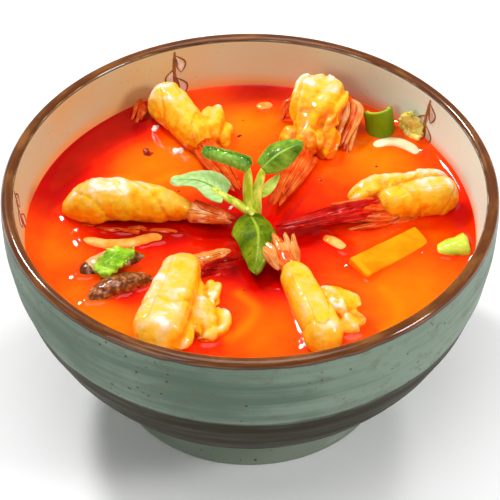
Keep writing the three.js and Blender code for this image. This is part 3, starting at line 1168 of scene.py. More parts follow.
@dataclass
class Twigs:
    """Brush-drawn twigs on the inner wall: a stem from the rim with a leaf outline on each side."""

    bowl: Bowl
    azimuths: tuple[float, ...] = (36.8, 110.0, 180.5, 252.0, 324.0)
    top: float = 95.5
    foot: float = 74.5
    stroke: float = 0.30

    def __post_init__(self) -> None:
        """Mix the two glazes it is drawn with."""
        browns = (0.20, 0.065, 0.016), (0.42, 0.17, 0.050), (0.60, 0.16, 0.02)
        pinks = (0.62, 0.46, 0.34), (0.86, 0.70, 0.58), (0.90, 0.40, 0.12)
        self.ink = Produce("twig_line", *browns, relief=0.1 * MM).material()
        self.wash = Produce("twig_wash", *pinks, relief=0.05 * MM).material()

    def _ribbon(
        self, name: str, marks: Sequence[tuple[float, float]], half: float, lift: float = 0.14
    ) -> bpy.types.Object:
        """Flat brush stroke on the wall.

        Args:
            name: the new object's name.
            marks: azimuth and height of the places it passes through.
            half: half its width, in millimetres.
            lift: how far it stands off the wall.

        Returns:
            The stroke.
        """
        places = []
        for azimuth, height in marks:
            radius = (self.bowl.wall_radius(height) - lift) * MM
            turn = math.radians(azimuth)
            places.append(Vector((radius * math.cos(turn), radius * math.sin(turn), height * MM)))
        turn = math.radians(marks[0][0])
        inward = Vector((-math.cos(turn), -math.sin(turn), 0.25))
        sizes = {"thickness": 0.1 * MM, "along": 28, "across": 3, "tip": 0.6 * half * MM}
        return Blade(name, places, half * MM, 8.0, up=inward, **sizes).build()

    def _leaf(self, azimuth: float, height: float, side: float) -> list[bpy.types.Object]:
        """Filled leaf beside the stem: two strokes that meet at its tip, and a wash between them.

        Args:
            azimuth: where it starts.
            height: where it starts.
            side: 1 or -1, the way it hangs.

        Returns:
            The strokes.
        """
        strokes = []
        for bulge in (0.5, 2.7):
            marks = [
                (azimuth, height),
                (azimuth + side * bulge, height - 3.6),
                (azimuth + side * bulge, height - 5.8),
                (azimuth + side * 1.5, height - 8.6),
            ]
            strokes.append(self._ribbon("leaf_stroke", marks, 0.7 * self.stroke))
            Bench.coat(strokes[-1], self.ink)
        fill = [
            (azimuth, height - 0.4),
            (azimuth + side * 1.6, height - 4.6),
            (azimuth + side * 1.5, height - 8.2),
        ]
        strokes.append(self._ribbon("leaf_fill", fill, 1.5, 0.05))
        Bench.coat(strokes[-1], self.wash)
        return strokes

    def build(self) -> bpy.types.Object:
        """Draw every twig as one object.

        Returns:
            The finished piece.
        """
        strokes = []
        for azimuth in self.azimuths:
            middle = 0.5 * (self.top + self.foot)
            stem = [(azimuth, self.top), (azimuth + 0.5, middle), (azimuth - 0.4, self.foot)]
            strokes.append(self._ribbon("stem_stroke", stem, 1.5 * self.stroke))
            Bench.coat(strokes[-1], self.ink)
            strokes += self._leaf(azimuth + 0.1, self.top - 1.5, -1.0)
            strokes += self._leaf(azimuth + 0.3, middle + 3.0, 1.0)
            strokes += self._leaf(azimuth, self.foot + 9.0, -1.0)
        twigs = Bench.join("wall_twigs", strokes)
        return Bench.hand_over(twigs, "bowl_glaze")


@dataclass(frozen=True)
class Petal:
    """Torn lobe of a prawn's flesh: its run over the soup, its half width and its flatness."""

    run: tuple[Triple, ...]
    half: float
    flat: float = 0.9


class TailLook(Enum):
    """Tones of the shell that a prawn's tail shows, from dark to light."""

    CRIMSON = ((0.10, 0.001, 0.001), (0.45, 0.002, 0.001), (0.80, 0.008, 0.003), (1.0, 0.07, 0.015))
    ORANGE = (
        (0.16, 0.015, 0.003),
        (0.70, 0.030, 0.002),
        (1.0, 0.10, 0.004),
        (1.0, 0.25, 0.015),
        (1.0, 0.50, 0.12),
    )
    PALE = ((0.40, 0.06, 0.008), (0.92, 0.24, 0.03), (1.0, 0.48, 0.13), (1.0, 0.76, 0.46))


@dataclass(frozen=True)
class LegRow:
    """Row of thin legs: where the first and the last start, how far each runs, its width, look and bow."""

    first: Triple
    last: Triple
    count: int
    sweep: Triple
    half: float = 1.2
    look: TailLook = TailLook.ORANGE
    bow: Triple = (0.0, 0.0, 0.8)


@dataclass
class Prawn:
    """Butterflied tail-on prawn: a plated half, torn petals fused to it, tail shell, strips and legs.

    Plan places are in millimetres with heights over the soup. Lumps and grain are widths and depths in
    millimetres, plate is a height and how far it is sunk, crease is a share of a plate and a depth, and
    folds are how many go round a petal and their height.
    """

    name: str
    head: Triple
    hump: float
    root: Triple
    tail: Triple
    half: float
    petals: tuple[Petal, ...]
    shell: TailLook
    blades: TailLook
    legs: tuple[LegRow, ...] = ()
    paleness: float = 0.0
    spread: float = 2.5
    strips: int = 7
    shell_sizes: tuple[float, float] = (4.6, 2.0)
    flat: float = 1.1
    square: float = 2.3
    blunt: float = 2.0
    segments: float = 2.6
    root_share: float = 0.62
    ragged: float = 1.0
    stained: float = 0.0
    even: float = 0.0
    # Direction of the painted light on the flesh: the side facing it is painted paler.
    light: Triple = (-0.34, 0.22, 0.91)
    voxel: float = 0.5 * MM
    lumps: tuple[tuple[float, float], ...] = ((12.0, 2.2), (5.0, 0.95))
    grain: tuple[float, float] = (2.4, 0.30)
    swelling: tuple[int, float] = (14, 0.03 * MM)
    plate: tuple[float, float] = (0.45, 0.3)
    crease: tuple[float, float] = (0.03, 0.2)
    folds: tuple[float, float] = (3.0, 0.5)
    tear: float = 9.0
    stain_reach: float = 0.24
    strip_half: float = 2.1 * MM

    def _along(self, share: float, height: float) -> Vector:
        """Place between the thick end and the tail's root, at a height over the soup."""
        x, y = (a + (b - a) * share for a, b in zip(self.head[:2], self.root[:2]))
        return over_soup(x, y, height)

    def _girth(self, share: float) -> float:
        """Half width of the body at a share of its length."""
        return self.half * MM * (1.0 - (1.0 - self.root_share) * share**1.6)

    def _main_run(self) -> list[Vector]:
        """Spine of the plated half."""
        middle = self._along(0.68, 0.6 * self.hump + 0.4 * self.root[2])
        return [over_soup(*self.head), self._along(0.3, self.hump), middle, over_soup(*self.root)]

    def _flesh(self) -> bpy.types.Object:
        """All the flesh fused, with plates on the main half and folds on the torn petals.

        Returns:
            The flesh, with its notes.
        """
        runs = [self._main_run(), *([over_soup(*p) for p in petal.run] for petal in self.petals)]
        plated = Lobe("half", runs[0], (1.0, self.flat), self._girth, 28, 36, self.blunt, self.square)
        lobes = [plated.build()]
        for petal, run in zip(self.petals, runs[1:]):
            half = (petal.half * MM, petal.flat * petal.half * MM)
            lobes.append(Lobe("petal", run, half, sides=24, rings=20, blunt=1.4, square=2.1).build())
        body = Bench.join(f"{self.name}_flesh", lobes)
        Bench.apply(body, "REMESH", mode="VOXEL", voxel_size=self.voxel)
        Bench.apply(body, "SMOOTH", factor=0.5, iterations=4)
        self._carve(body, [Path(run) for run in runs])
        for size, depth in self.lumps:
            Bench.roughen(body, size * MM, depth * self.ragged * MM)
        Bench.apply(body, "SMOOTH", factor=0.5, iterations=2)
        size, depth = self.grain
        Bench.roughen(body, size * MM, depth * MM)
        height = Bench.corners(body)[:, 2] - LEVEL
        Bench.note(body, "rise", height / height.max())
        # sky and swell are noted for painted light and shade in the flesh's colour.
        Bench.note(body, "sky", Bench.normals(body) @ np.array(self.light))
        Bench.note(body, "swell", Bench.swelling(body, *self.swelling))
        return body

    def _carve(self, body: bpy.types.Object, paths: Sequence[Path]) -> None:
        """Raise the plates, cut the creases and note where everything is.

        Args:
            body: the fused flesh.
            paths: run of the plated half, then of each petal.
        """
        places = Bench.corners(body)
        gaps = [np.linalg.norm(places[:, None, :] - p.samples[None, ::3], axis=2) for p in paths]
        main = paths[0]
        along = main.reach[::3][np.argmin(gaps[0], axis=1)] / main.length
        centre, across, normal = main.frames(along, UP)
        along += np.sum((places - centre) * np.cross(across, normal), axis=1) / main.length
        flank = np.sum((places - centre) * across, axis=1) / (self.half * MM)
        crown = np.sum((places - centre) * normal, axis=1) / (self.half * MM)
        torn, flute = np.zeros(len(places)), np.zeros(len(places))
        for petal, gap, path in zip(self.petals, gaps[1:], paths[1:]):
            lead = gaps[0].min(axis=1) / (self.half * MM) - gap.min(axis=1) / (petal.half * MM)
            share = 1.0 / (1.0 + np.exp(-self.tear * lead))
            reach = path.reach[::3][np.argmin(gap, axis=1)] / path.length
            middle, beside, above = path.frames(reach, UP)
            turn = np.arctan2(*(np.sum((places - middle) * axis, axis=1) for axis in (beside, above)))
            wave = np.sin(self.folds[0] * turn + 4.0 * reach + petal.half)
            flute = np.where(share > torn, wave, flute)
            torn = np.maximum(torn, share)
        uneven = 0.10 * np.sin(4.0 * flank + 9.0 * along) + 0.12 * np.sin(11.0 * along + self.head[0])
        part = (along * self.segments + 0.3 + 0.22 * crown + 0.2 * flank + uneven) % 1.0
        crease = np.exp(-((np.minimum(part, 1.0 - part) / self.crease[0]) ** 2)) * (1.0 - torn)
        bulge = np.sin(np.pi * part) ** 0.6 + 0.4 * part
        plates = (self.plate[0] * bulge - self.plate[1]) * (1.0 - torn)
        height = plates - self.crease[1] * crease + self.folds[1] * flute * torn
        Bench.move(body, places + Bench.normals(body) * (height * MM)[:, None])
        notes = {"along": along, "flank": flank, "crown": crown, "torn": torn, "crease": crease}
        for label, values in notes.items():
            Bench.note(body, label, values)
        stain = self.stained * np.exp(-((along / self.stain_reach) ** 4))
        Bench.note(body, "pale", self.paleness - stain + self.even * along)

    def _shell(self) -> bpy.types.Object:
        """Ridged tail shell, from the last plate on.

        Returns:
            The shell.
        """
        end, root = over_soup(*self.tail), over_soup(*self.root)
        start = root.lerp(self._along(0.85, self.root[2]), 0.6)
        thick, thin = (size * MM for size in self.shell_sizes)
        run = [start, root.lerp(end, 0.9)]
        shell = Lobe(f"{self.name}_shell", run, (1.0, 1.0), sloping(thick, thin), sides=32).build()
        Bench.roughen(shell, 3.0 * MM, 0.9 * MM)
        return shell

    def _fan(self) -> list[bpy.types.Object]:
        """Long strips of the tail, side by side from the last plate to their tips.

        Returns:
            The strips.
        """
        end, root = over_soup(*self.tail), over_soup(*self.root)
        heading = (end - root).normalized()
        sideways = UP.cross(heading).normalized()
        wide = self.shell_sizes[0] * MM
        strips = []
        for turn in np.linspace(-1.0, 1.0, self.strips):
            start = root - heading * 2.0 * MM + sideways * turn * wide + UP * 0.9 * wide * (1.0 - turn * turn)
            tip = end + sideways * turn * self.spread * MM + UP * math.cos(7.0 * turn) * MM
            tip -= heading * 0.22 * (end - root).length * abs(math.sin(5.0 * turn))
            rib = [start, start.lerp(tip, 0.5) + UP * 0.8 * MM, tip]
            lean = UP + sideways * 0.8 * turn
            sizes = {"ripple": 0.25 * MM, "thickness": 0.4 * MM, "across": 10, "tip": 0.1 * MM}
            strips.append(Blade("strip", rib, self.strip_half, 35.0, up=lean, **sizes).build())
        return strips

    def _legs(self, row: LegRow) -> list[bpy.types.Object]:
        """Thin legs that hang from a side and trail away.

        Args:
            row: where they are and how they look.

        Returns:
            The legs.
        """
        dice = random.Random(self.name)
        made = []
        for k in range(row.count):
            start = over_soup(*row.first).lerp(over_soup(*row.last), k / max(1, row.count - 1))
            sweep = Vector(row.sweep) * MM * dice.uniform(0.75, 1.15)
            sideways = UP.cross(sweep).normalized() * dice.uniform(-1.6, 1.6) * MM
            middle = start + 0.5 * sweep + Vector(row.bow) * dice.uniform(0.3, 1.6) * MM + sideways
            run = [start, middle, start + sweep + sideways]
            half = row.half * dice.uniform(0.7, 1.2) * MM
            made.append(Blade("leg", run, half, 65.0, 0.3 * MM, 0.5 * MM, along=20, across=6).build())
        return made

    def build(
        self, flesh: bpy.types.Material, shells: dict[TailLook, bpy.types.Material]
    ) -> bpy.types.Object:
        """Make the prawn as one object.

        Args:
            flesh: surface of both halves.
            shells: surface of each kind of tail.

        Returns:
            The finished piece.
        """
        body = self._flesh()
        body.data.materials.append(flesh)
        coats = [(self.shell, [self._shell()]), (self.blades, self._fan())]
        coats += [(row.look, self._legs(row)) for row in self.legs]
        pieces = [body]
        for look, made in coats:
            for piece in made:
                Bench.coat(piece, shells[look])
            pieces += made
        whole = Bench.join(f"{self.name}_dressed", pieces)
        return Bench.hand_over(whole, "prawn", self.name)


@dataclass
class Sprig:
    """Lamb's-lettuce sprig: stems from one base with a rolled, a folded, a left, a front and a small leaf."""

    base: tuple[float, float] = (3.0, 1.0)
    roll: tuple[float, float] = (3.3, 2.3)
    bands: float = 6.5
    band_relief: float = 0.35
    drops: tuple[Triple, ...] = ((0.38, 0.25, 0.9), (0.76, -0.5, 0.8), (0.3, -0.5, 0.55), (0.55, 0.5, 0.5))

    def _at(self, x: float, y: float, z: float) -> Vector:
        """Place by its distance from the base and its height over the soup."""
        return over_soup(self.base[0] + x, self.base[1] + y, z)

    def _leaves(self) -> list[Blade]:
        """The four open leaves.

        Returns:
            The leaves, not built yet.
        """
        at = self._at
        fine = {"veins": 0.16 * MM, "along": 48, "across": 28}
        folded = [at(1.5, 9.5, 22.5), at(8.7, 13.2, 27), at(17.2, 17, 29)]
        left = [at(-12.5, 5, 12), at(-22, 8.2, 16), at(-33.3, 8, 17)]
        front = [at(-3, -1.5, 8.5), at(0.2, -16, 11.5), at(-1, -31.5, 5)]
        small = [at(0.6, 5.6, 11.5), at(4.3, 8, 14), at(8.4, 11.8, 17)]
        shut = {"up": Vector((0.1, -0.45, 0.9)), "fold": 1.8 * MM, "tip": 0.8 * MM, "skew": 0.75}
        return [
            Blade("leaf_folded", folded, 5.0 * MM, 40, 0.5 * MM, **shut, **fine),
            Blade("leaf_left", left, 6.4 * MM, 20, 0.7 * MM, skew=0.4, tip=1.3 * MM, lean=-0.42, **fine),
            Blade("leaf_front", front, 8.2 * MM, 36, 0.6 * MM, fold=1.2 * MM, skew=0.6, lean=-0.16, **fine),
            Blade("leaf_small", small, 2.2 * MM, 30, along=24, across=12, skew=0.7),
        ]

    def _rolled(self) -> bpy.types.Object:
        """Leaf rolled up to a tube, with its side veins as bands round it.

        Returns:
            The tube.
        """
        run = [self._at(-2.6, 7.5, 25), self._at(-11.8, 10.9, 26.4), self._at(-21.6, 15.4, 26)]
        thick, thin = (size * MM for size in self.roll)
        fine = {"sides": 40, "rings": 72, "blunt": 4.0}
        tube = Lobe("leaf_rolled", run, (1.0, 1.0), sloping(thick, thin), **fine).build()
        along, flank, crown = (Bench.read(tube, label) for label in ("along", "flank", "crown"))
        turn = np.arctan2(flank, crown)
        band = np.abs((self.bands * along + 0.18 * turn) % 1.0 - 0.5)
        edge = np.exp(-((np.mod(turn + 0.9 - 0.5 * along, FULL_TURN) / 0.5) ** 2))
        height = self.band_relief * edge - self.band_relief * np.exp(-((band / 0.10) ** 2))
        Bench.move(tube, Bench.corners(tube) + Bench.normals(tube) * (height * MM)[:, None])
        Bench.note(tube, "flank", turn / math.pi)
        return tube

    def _stems(self) -> list[bpy.types.Object]:
        """Stalks from the base to the leaves.

        Returns:
            The stalks.
        """
        at = self._at
        runs = {
            2.7: [at(-0.5, 1, -3), at(-1.2, 2, 3), at(-1.8, 3.4, 9)],
            2.4: [at(-2, 2.4, 2), at(-3, 3.8, 8), at(-3.8, 5.4, 15), at(-3.6, 7.6, 25)],
            2.3: [at(0, 2.4, 2), at(-0.8, 4, 8), at(0, 6, 15), at(2.6, 10.2, 23.5)],
            1.9: [at(-1.5, 1.2, 5), at(-6, 2.6, 8.5), at(-14.5, 5.4, 12.6), at(-20, 7.4, 15)],
            1.6: [at(-1.5, 2.5, 5), at(-2.4, 0, 8.2), at(-2.4, -3.5, 9.6)],
            1.2: [at(-0.5, 3.2, 7), at(0.6, 5.6, 11.5), at(2.4, 6.8, 12.7)],
        }
        thinner = sloping(1.15, 0.65)
        return [
            Lobe("stem", run, (half * MM, 0.8 * half * MM), thinner, sides=20, rings=32, blunt=1.6).build()
            for half, run in runs.items()
        ]

    def _wet(self, leaf: bpy.types.Object) -> list[bpy.types.Object]:
        """Drops of water on a leaf, by share along, flank and size.

        Args:
            leaf: the built leaf.

        Returns:
            The drops.
        """
        along, flank, places = Bench.read(leaf, "along"), Bench.read(leaf, "flank"), Bench.corners(leaf)
        hidden = Bench.normals(leaf)[:, 2] < 0.0
        made = []
        for share, side, size in self.drops:
            spot = Vector(places[np.argmin((along - share) ** 2 + (flank - side) ** 2 + hidden)])
            Bench.clear()
            bpy.ops.mesh.primitive_ico_sphere_add(subdivisions=3, radius=size * MM, location=spot)
            drop = Bench.take("drop")
            bpy.ops.transform.resize(value=(1.0, 1.15, 0.7), center_override=spot)
            Bench.close()
            made.append(drop)
        return made

    def build(self) -> bpy.types.Object:
        """Make the sprig as one object.

        Returns:
            The finished piece.
        """
        banded = (0.04, 0.15, 0.005), (0.30, 0.58, 0.05), (0.03, 0.09, 0.002)
        kinds = (
            Greens("leaf_folded", (0.05, 0.15, 0.005), (0.34, 0.54, 0.04), (0.46, 0.66, 0.10)),
            Greens("leaf_rolled", *banded, self.bands, 0.5),
            Greens("leaf_front", (0.045, 0.105, 0.002), (0.27, 0.36, 0.006), (0.42, 0.52, 0.04), gloss=0.0),
            Greens("leaf_left", (0.30, 0.52, 0.13), (0.62, 0.85, 0.38), (0.14, 0.27, 0.03), gloss=0.05),
            Greens("leaf_small", (0.36, 0.50, 0.03), (0.66, 0.74, 0.12), (0.70, 0.80, 0.30)),
            Greens("leaf_back", (0.16, 0.30, 0.04), (0.40, 0.56, 0.14), (0.60, 0.75, 0.36)),
        )
        faces = {kind.name: kind.material() for kind in kinds}
        tones = (0.42, 0.56, 0.015), (0.95, 0.95, 0.16), (0.75, 0.40, 0.03)
        stalk = Produce("sprig_stem", *tones, (500.0, 500.0, 40.0), relief=0.2 * MM).material()
        pieces = self._stems()
        for stem in pieces:
            Bench.coat(stem, stalk)
        pieces.append(self._rolled())
        Bench.coat(pieces[-1], faces["leaf_rolled"])
        for blade in self._leaves():
            leaf = blade.build()
            Bench.roughen(leaf, 7.0 * MM, 1.1 * MM)
            Bench.coat(leaf, faces[blade.name], faces["leaf_back"])
            pieces.append(leaf)
            if blade.name == "leaf_front":
                water = Clear().material()
                for drop in self._wet(leaf):
                    Bench.coat(drop, water)
                    pieces.append(drop)
        whole = Bench.join("sprig_dressed", pieces)
        return Bench.hand_over(whole, "sprig", "sprig")


@dataclass
class Carrot:
    """Square-cut baton, its top just out of the soup."""

    centre: tuple[float, float] = (53.5, -14.5)
    size: Triple = (33.0, 10.5, 7.0)
    turn: Triple = (9.0, 4.0, 38.0)
    shows: float = 2.6
    edge: float = 0.7 * MM

    def build(self) -> bpy.types.Object:
        """Cut the baton and turn it into place.

        Returns:
            The finished piece.
        """
        Bench.clear()
        bpy.ops.mesh.primitive_cube_add(size=1.0)
        baton = bpy.context.object
        baton.scale = [s * MM for s in self.size]
        Bench.take("carrot_dressed")
        bpy.ops.mesh.bevel(offset=self.edge, segments=3, affect="EDGES")
        bpy.ops.mesh.select_all(action="SELECT")
        bpy.ops.mesh.subdivide(number_cuts=14)
        Bench.close()
        ends = Bench.corners(baton)
        Bench.note(baton, "tint", np.where(ends[:, 0] < -0.47 * self.size[0] * MM, 0.5, 0.0))
        Bench.set_down(baton, over_soup(*self.centre, self.shows - 0.5 * self.size[2]), self.turn)
        Bench.roughen(baton, 12.0 * MM, 0.5 * MM)
        tones = (0.95, 0.20, 0.0), (1.0, 0.33, 0.003), (0.98, 0.13, 0.0)
        wet = {"painted": True, "wet_height": 1.2 * MM, "gloss": 0.0, "roughness": 0.45}
        look = Produce("carrot", *tones, (60.0, 90.0, 120.0), (0.3, 0.62), **wet)
        baton.data.materials.append(look.material())
        return Bench.hand_over(baton, "carrot", "carrot_baton")


@dataclass
class Mushroom:
    """Long mushroom piece with pointed ends between two plan places."""

    name: str
    ends: tuple[tuple[float, float], tuple[float, float]]
    half: tuple[float, float]
    height: float
    wrinkle: float
    look: Produce
    skin_ends: float = 0.0

    @staticmethod
    def _swell(share: float) -> float:
        """Size at a share of the length, with pointed ends."""
        return math.sin(math.pi * (0.1 + 0.8 * share)) ** 0.7

    def build(self) -> bpy.types.Object:
        """Make the piece and wrinkle it.

        Returns:
            The finished piece.
        """
        (x0, y0), (x1, y1) = self.ends
        middle = over_soup((x0 + x1) / 2 - 1.5, (y0 + y1) / 2 + 1.5, self.height + 0.8)
        run = [over_soup(x0, y0, self.height - 1.0), middle, over_soup(x1, y1, self.height)]
        half = (self.half[0] * MM, self.half[1] * MM)
        body = Lobe(self.name, run, half, self._swell, sides=32, rings=48).build()
        Bench.subdivide(body, 1)
        along = Bench.read(body, "along")
        Bench.note(body, "tint", self.skin_ends * (np.abs(along - 0.5) > 0.27))
        Bench.roughen(body, 4.0 * MM, self.wrinkle)
        Bench.roughen(body, 1.2 * MM, 0.6 * self.wrinkle)
        body.data.materials.append(self.look.material())
        body.name = f"{self.name}_dressed"
        return Bench.hand_over(body, "mushroom", self.name)


@dataclass
class Scrap:
    """Crumpled leaf scrap: a blade with a frilled edge."""

    name: str
    slot: str
    blade: Blade
    crumple: float
    faces: tuple[Greens, Greens]

    def build(self) -> bpy.types.Object:
        """Make the scrap and crumple it.

        Returns:
            The finished piece.
        """
        sheet = self.blade.build()
        Bench.roughen(sheet, 3.0 * MM, self.crumple)
        Bench.coat(sheet, *(face.material() for face in self.faces))
        sheet.name = f"{self.name}_dressed"
        return Bench.hand_over(sheet, self.slot, self.name)


@dataclass
class Pepper:
    """Bent strip of green pepper on its edge: a wall turned through half a circle."""

    centre: tuple[float, float] = (52.4, 59.6)
    radius: float = 6.0
    wall: float = 2.2
    height: float = 12.0
    lift: float = 4.0
    arc: tuple[float, float] = (-12.0, 172.0)
    turn: Triple = (20.0, 0.0, 205.0)
    steps: int = 28
    edge: float = 0.55 * MM

    def build(self) -> bpy.types.Object:
        """Turn the strip, round its edges and stand it in place.

        Returns:
            The finished piece.
        """
        Bench.clear()
        start = math.radians(self.arc[0])
        middle = (self.radius - 0.5 * self.wall) * MM
        spot = (middle * math.cos(start), middle * math.sin(start), 0.0)
        bpy.ops.mesh.primitive_plane_add(size=1.0, location=spot, rotation=(math.pi / 2, 0.0, start))
        strip = bpy.context.object
        strip.scale = (self.wall * MM, self.height * MM, 1.0)
        Bench.take("pepper_dressed")
        sweep = math.radians(self.arc[1] - self.arc[0])
        bpy.ops.mesh.spin(steps=self.steps, angle=-sweep, center=(0.0, 0.0, 0.0), axis=UP)
        bpy.ops.mesh.select_all(action="SELECT")
        bpy.ops.mesh.fill_holes(sides=8)
        Bench.close()
        sharp = math.radians(50)
        Bench.apply(strip, "BEVEL", width=self.edge, segments=3, limit_method="ANGLE", angle_limit=sharp)
        Bench.subdivide(strip, 2)
        places = Bench.corners(strip)
        outward = np.hypot(places[:, 0], places[:, 1]) / MM - (self.radius - 0.5 * self.wall)
        Bench.note(strip, "tint", -0.5 * np.clip(outward / self.wall, -0.5, 0.5))
        Bench.set_down(strip, over_soup(*self.centre, self.lift), self.turn)
        Bench.roughen(strip, 5.0 * MM, 0.7 * MM)
        tones = (0.17, 0.28, 0.003), (0.62, 0.68, 0.03), (0.42, 0.20, 0.01)
        wet = {"painted": True, "gloss": 0.4, "roughness": 0.2}
        look = Produce("pepper", *tones, (110.0, 110.0, 110.0), (0.38, 0.72), **wet)
        strip.data.materials.append(look.material())
        return Bench.hand_over(strip, "pepper", "pepper_piece")


@dataclass
class Stalk:
    """Chunk of pale green stalk at the right wall, ribbed along its length."""

    ends: tuple[Triple, Triple] = ((71.5, -12.5, -1.0), (84.3, -11.0, 3.0))
    half: tuple[float, float] = (5.8, 4.4)

    def build(self) -> bpy.types.Object:
        """Make the chunk.

        Returns:
            The finished piece.
        """
        half = (self.half[0] * MM, self.half[1] * MM)
        run = [over_soup(*end) for end in self.ends]
        wider = sloping(0.55, 1.0)
        body = Lobe("stalk_dressed", run, half, wider, sides=36, rings=36, blunt=3.0).build()
        Bench.subdivide(body, 1)
        Bench.note(body, "tint", 0.30 * Bench.read(body, "crown"))
        Bench.roughen(body, 6.0 * MM, 1.4 * MM)
        Bench.roughen(body, 2.0 * MM, 0.4 * MM)
        tones = (0.24, 0.56, 0.004), (0.72, 0.88, 0.08), (0.85, 0.34, 0.01)
        look = Produce("stalk", *tones, (90.0, 260.0, 260.0), (0.35, 0.95), painted=True)
        body.data.materials.append(look.material())
        return Bench.hand_over(body, "stalk", "stalk_piece")


@dataclass
class Noodle:
    """Stretch of thick noodle that breaks the surface, through places over the soup."""

    name: str
    run: Sequence[Triple]
    stained: bool = False
    half: float = 2.6
    flat: float = 0.85

    def build(self, look: bpy.types.Material) -> bpy.types.Object:
        """Make the stretch.

        Args:
            look: its surface.

        Returns:
            The finished piece.
        """
        half = self.half * MM
        run = [over_soup(*p) for p in self.run]
        body = Lobe(self.name, run, (half, self.flat * half), sides=24, rings=44, square=2.8).build()
        Bench.roughen(body, 5.0 * MM, 0.5 * MM)
        body.data.materials.append(look)
        body.name = f"{self.name}_dressed"
        return Bench.hand_over(body, "noodle", self.name)


@dataclass(frozen=True)
class Pool:
    """Place where the soup is more orange, or redder if negative: plan centre, reach and strength."""

    x: float
    y: float
    reach: float
    strength: float


@dataclass
class Soup:
    """Soup up to its level: its surface climbs a little at the wall and at every piece.

    A climb falls off over its reach. It is largest at the steepest piece, and at the wall on the lit side.
    """

    bowl: Bowl
    pools: tuple[Pool, ...]
    sunken: tuple[tuple[Triple, ...], ...]
    rings: int = 120
    turns: int = 360
    climb: float = 1.5 * MM
    reach: float = 2.4 * MM
    steepest: str = "prawn_front_right_dressed"
    steep_climb: float = 1.5
    steep_reach: float = 3.6 * MM
    wall_climb: float = 0.85
    wall_reach: float = 2.8 * MM
    lit_climb: float = 0.75
    lit_side: tuple[float, float] = (0.95, 0.31)
    far: float = 0.05
    warmth: float = 0.48
    # Soup reddened near every piece: painted shade under the pieces.
    shade_reddening: tuple[float, float] = (0.12, 3.0 * MM)
    strand_half: float = 2.2 * MM

    def _profile(self) -> np.ndarray:
        """Profile from the middle of the surface to the wall and down to the floor.

        Returns:
            Radius and height of each point.
        """
        edge = self.bowl.wall_radius(LEVEL / MM) + 0.25
        shares = np.sin(np.linspace(0.0, 0.5 * math.pi, self.rings + 1))
        top = np.c_[edge * shares, np.full(len(shares), LEVEL / MM)]
        wall = self.bowl.inner_wall(40)
        under = wall[wall[:, 1] < LEVEL / MM - 1.5] + np.array([-0.1, 0.1])
        under[-1, 0] = 0.0
        return np.vstack([top, under]) * MM

    def build(self, others: Sequence[bpy.types.Object]) -> bpy.types.Object:
        """Turn the soup, raise its surface at the pieces and colour it.

        Args:
            others: the pieces that lie in it.

        Returns:
            The finished piece.
        """
        soup = Bench.turn("soup_dressed", self._profile(), self.turns)
        self._settle(soup, others)
        soup.data.materials.append(Broth().material())
        return Bench.hand_over(soup, "soup", "soup")

    def _gaps(
        self, places: np.ndarray, chosen: np.ndarray, others: Sequence[bpy.types.Object]
    ) -> np.ndarray:
        """Distance from each chosen place to the nearest of some pieces.

        Args:
            places: corners of the soup.
            chosen: which of them to measure.
            others: the pieces.

        Returns:
            A distance for each corner, no more than the far limit.
        """
        trees = [BVHTree.FromObject(o, bpy.context.evaluated_depsgraph_get()) for o in others]
        near = np.full(len(places), self.far)
        for k in np.flatnonzero(chosen):
            spot = Vector(places[k])
            found = (tree.find_nearest(spot, near[k])[3] for tree in trees)
            near[k] = min([near[k], *(d for d in found if d is not None)])
        return near

    def _settle(self, soup: bpy.types.Object, others: Sequence[bpy.types.Object]) -> None:
        """Lift the surface at what it touches, and note where it is warm and what lies under it.

        Args:
            soup: the turned soup.
            others: the pieces that lie in it.
        """
        places = Bench.corners(soup)
        on_top = np.abs(places[:, 2] - LEVEL) < 1e-6
        first = [o for o in others if o.name == self.steepest]
        rest = [o for o in others if o.name != self.steepest]
        steep = self._gaps(places, on_top, first)
        near = np.minimum(steep, self._gaps(places, on_top, rest))
        radius = np.hypot(places[:, 0], places[:, 1])
        wall = radius[on_top].max() - radius
        lit = np.maximum(places[:, :2] @ np.array(self.lit_side) / radius.max(), 0.0) ** 4
        hug = (self.wall_climb + self.lit_climb * lit) * np.exp(-np.maximum(wall, 0.0) / self.wall_reach)
        cling = np.maximum(np.exp(-near / self.reach), self.steep_climb * np.exp(-steep / self.steep_reach))
        places[:, 2] += np.where(on_top, self.climb * (cling + hug), 0.0)
        Bench.move(soup, places)
        # Painted shade: the soup reddens near every piece.
        warm = self.warmth - self.shade_reddening[0] * np.exp(-near / self.shade_reddening[1])
        for pool in self.pools:
            away = np.hypot(places[:, 0] - pool.x * MM, places[:, 1] - pool.y * MM) / (pool.reach * MM)
            warm += pool.strength * np.exp(-(away**2))
        Bench.note(soup, "warmth", warm)
        under = np.zeros(len(places))
        for run in self.sunken:
            strand = Path([over_soup(*p) for p in run]).samples
            gap = np.min(np.linalg.norm(places[:, None, :2] - strand[None, ::4, :2], axis=2), axis=1)
            under = np.maximum(under, np.exp(-((gap / self.strand_half) ** 2)))
        Bench.note(soup, "sunken", under)


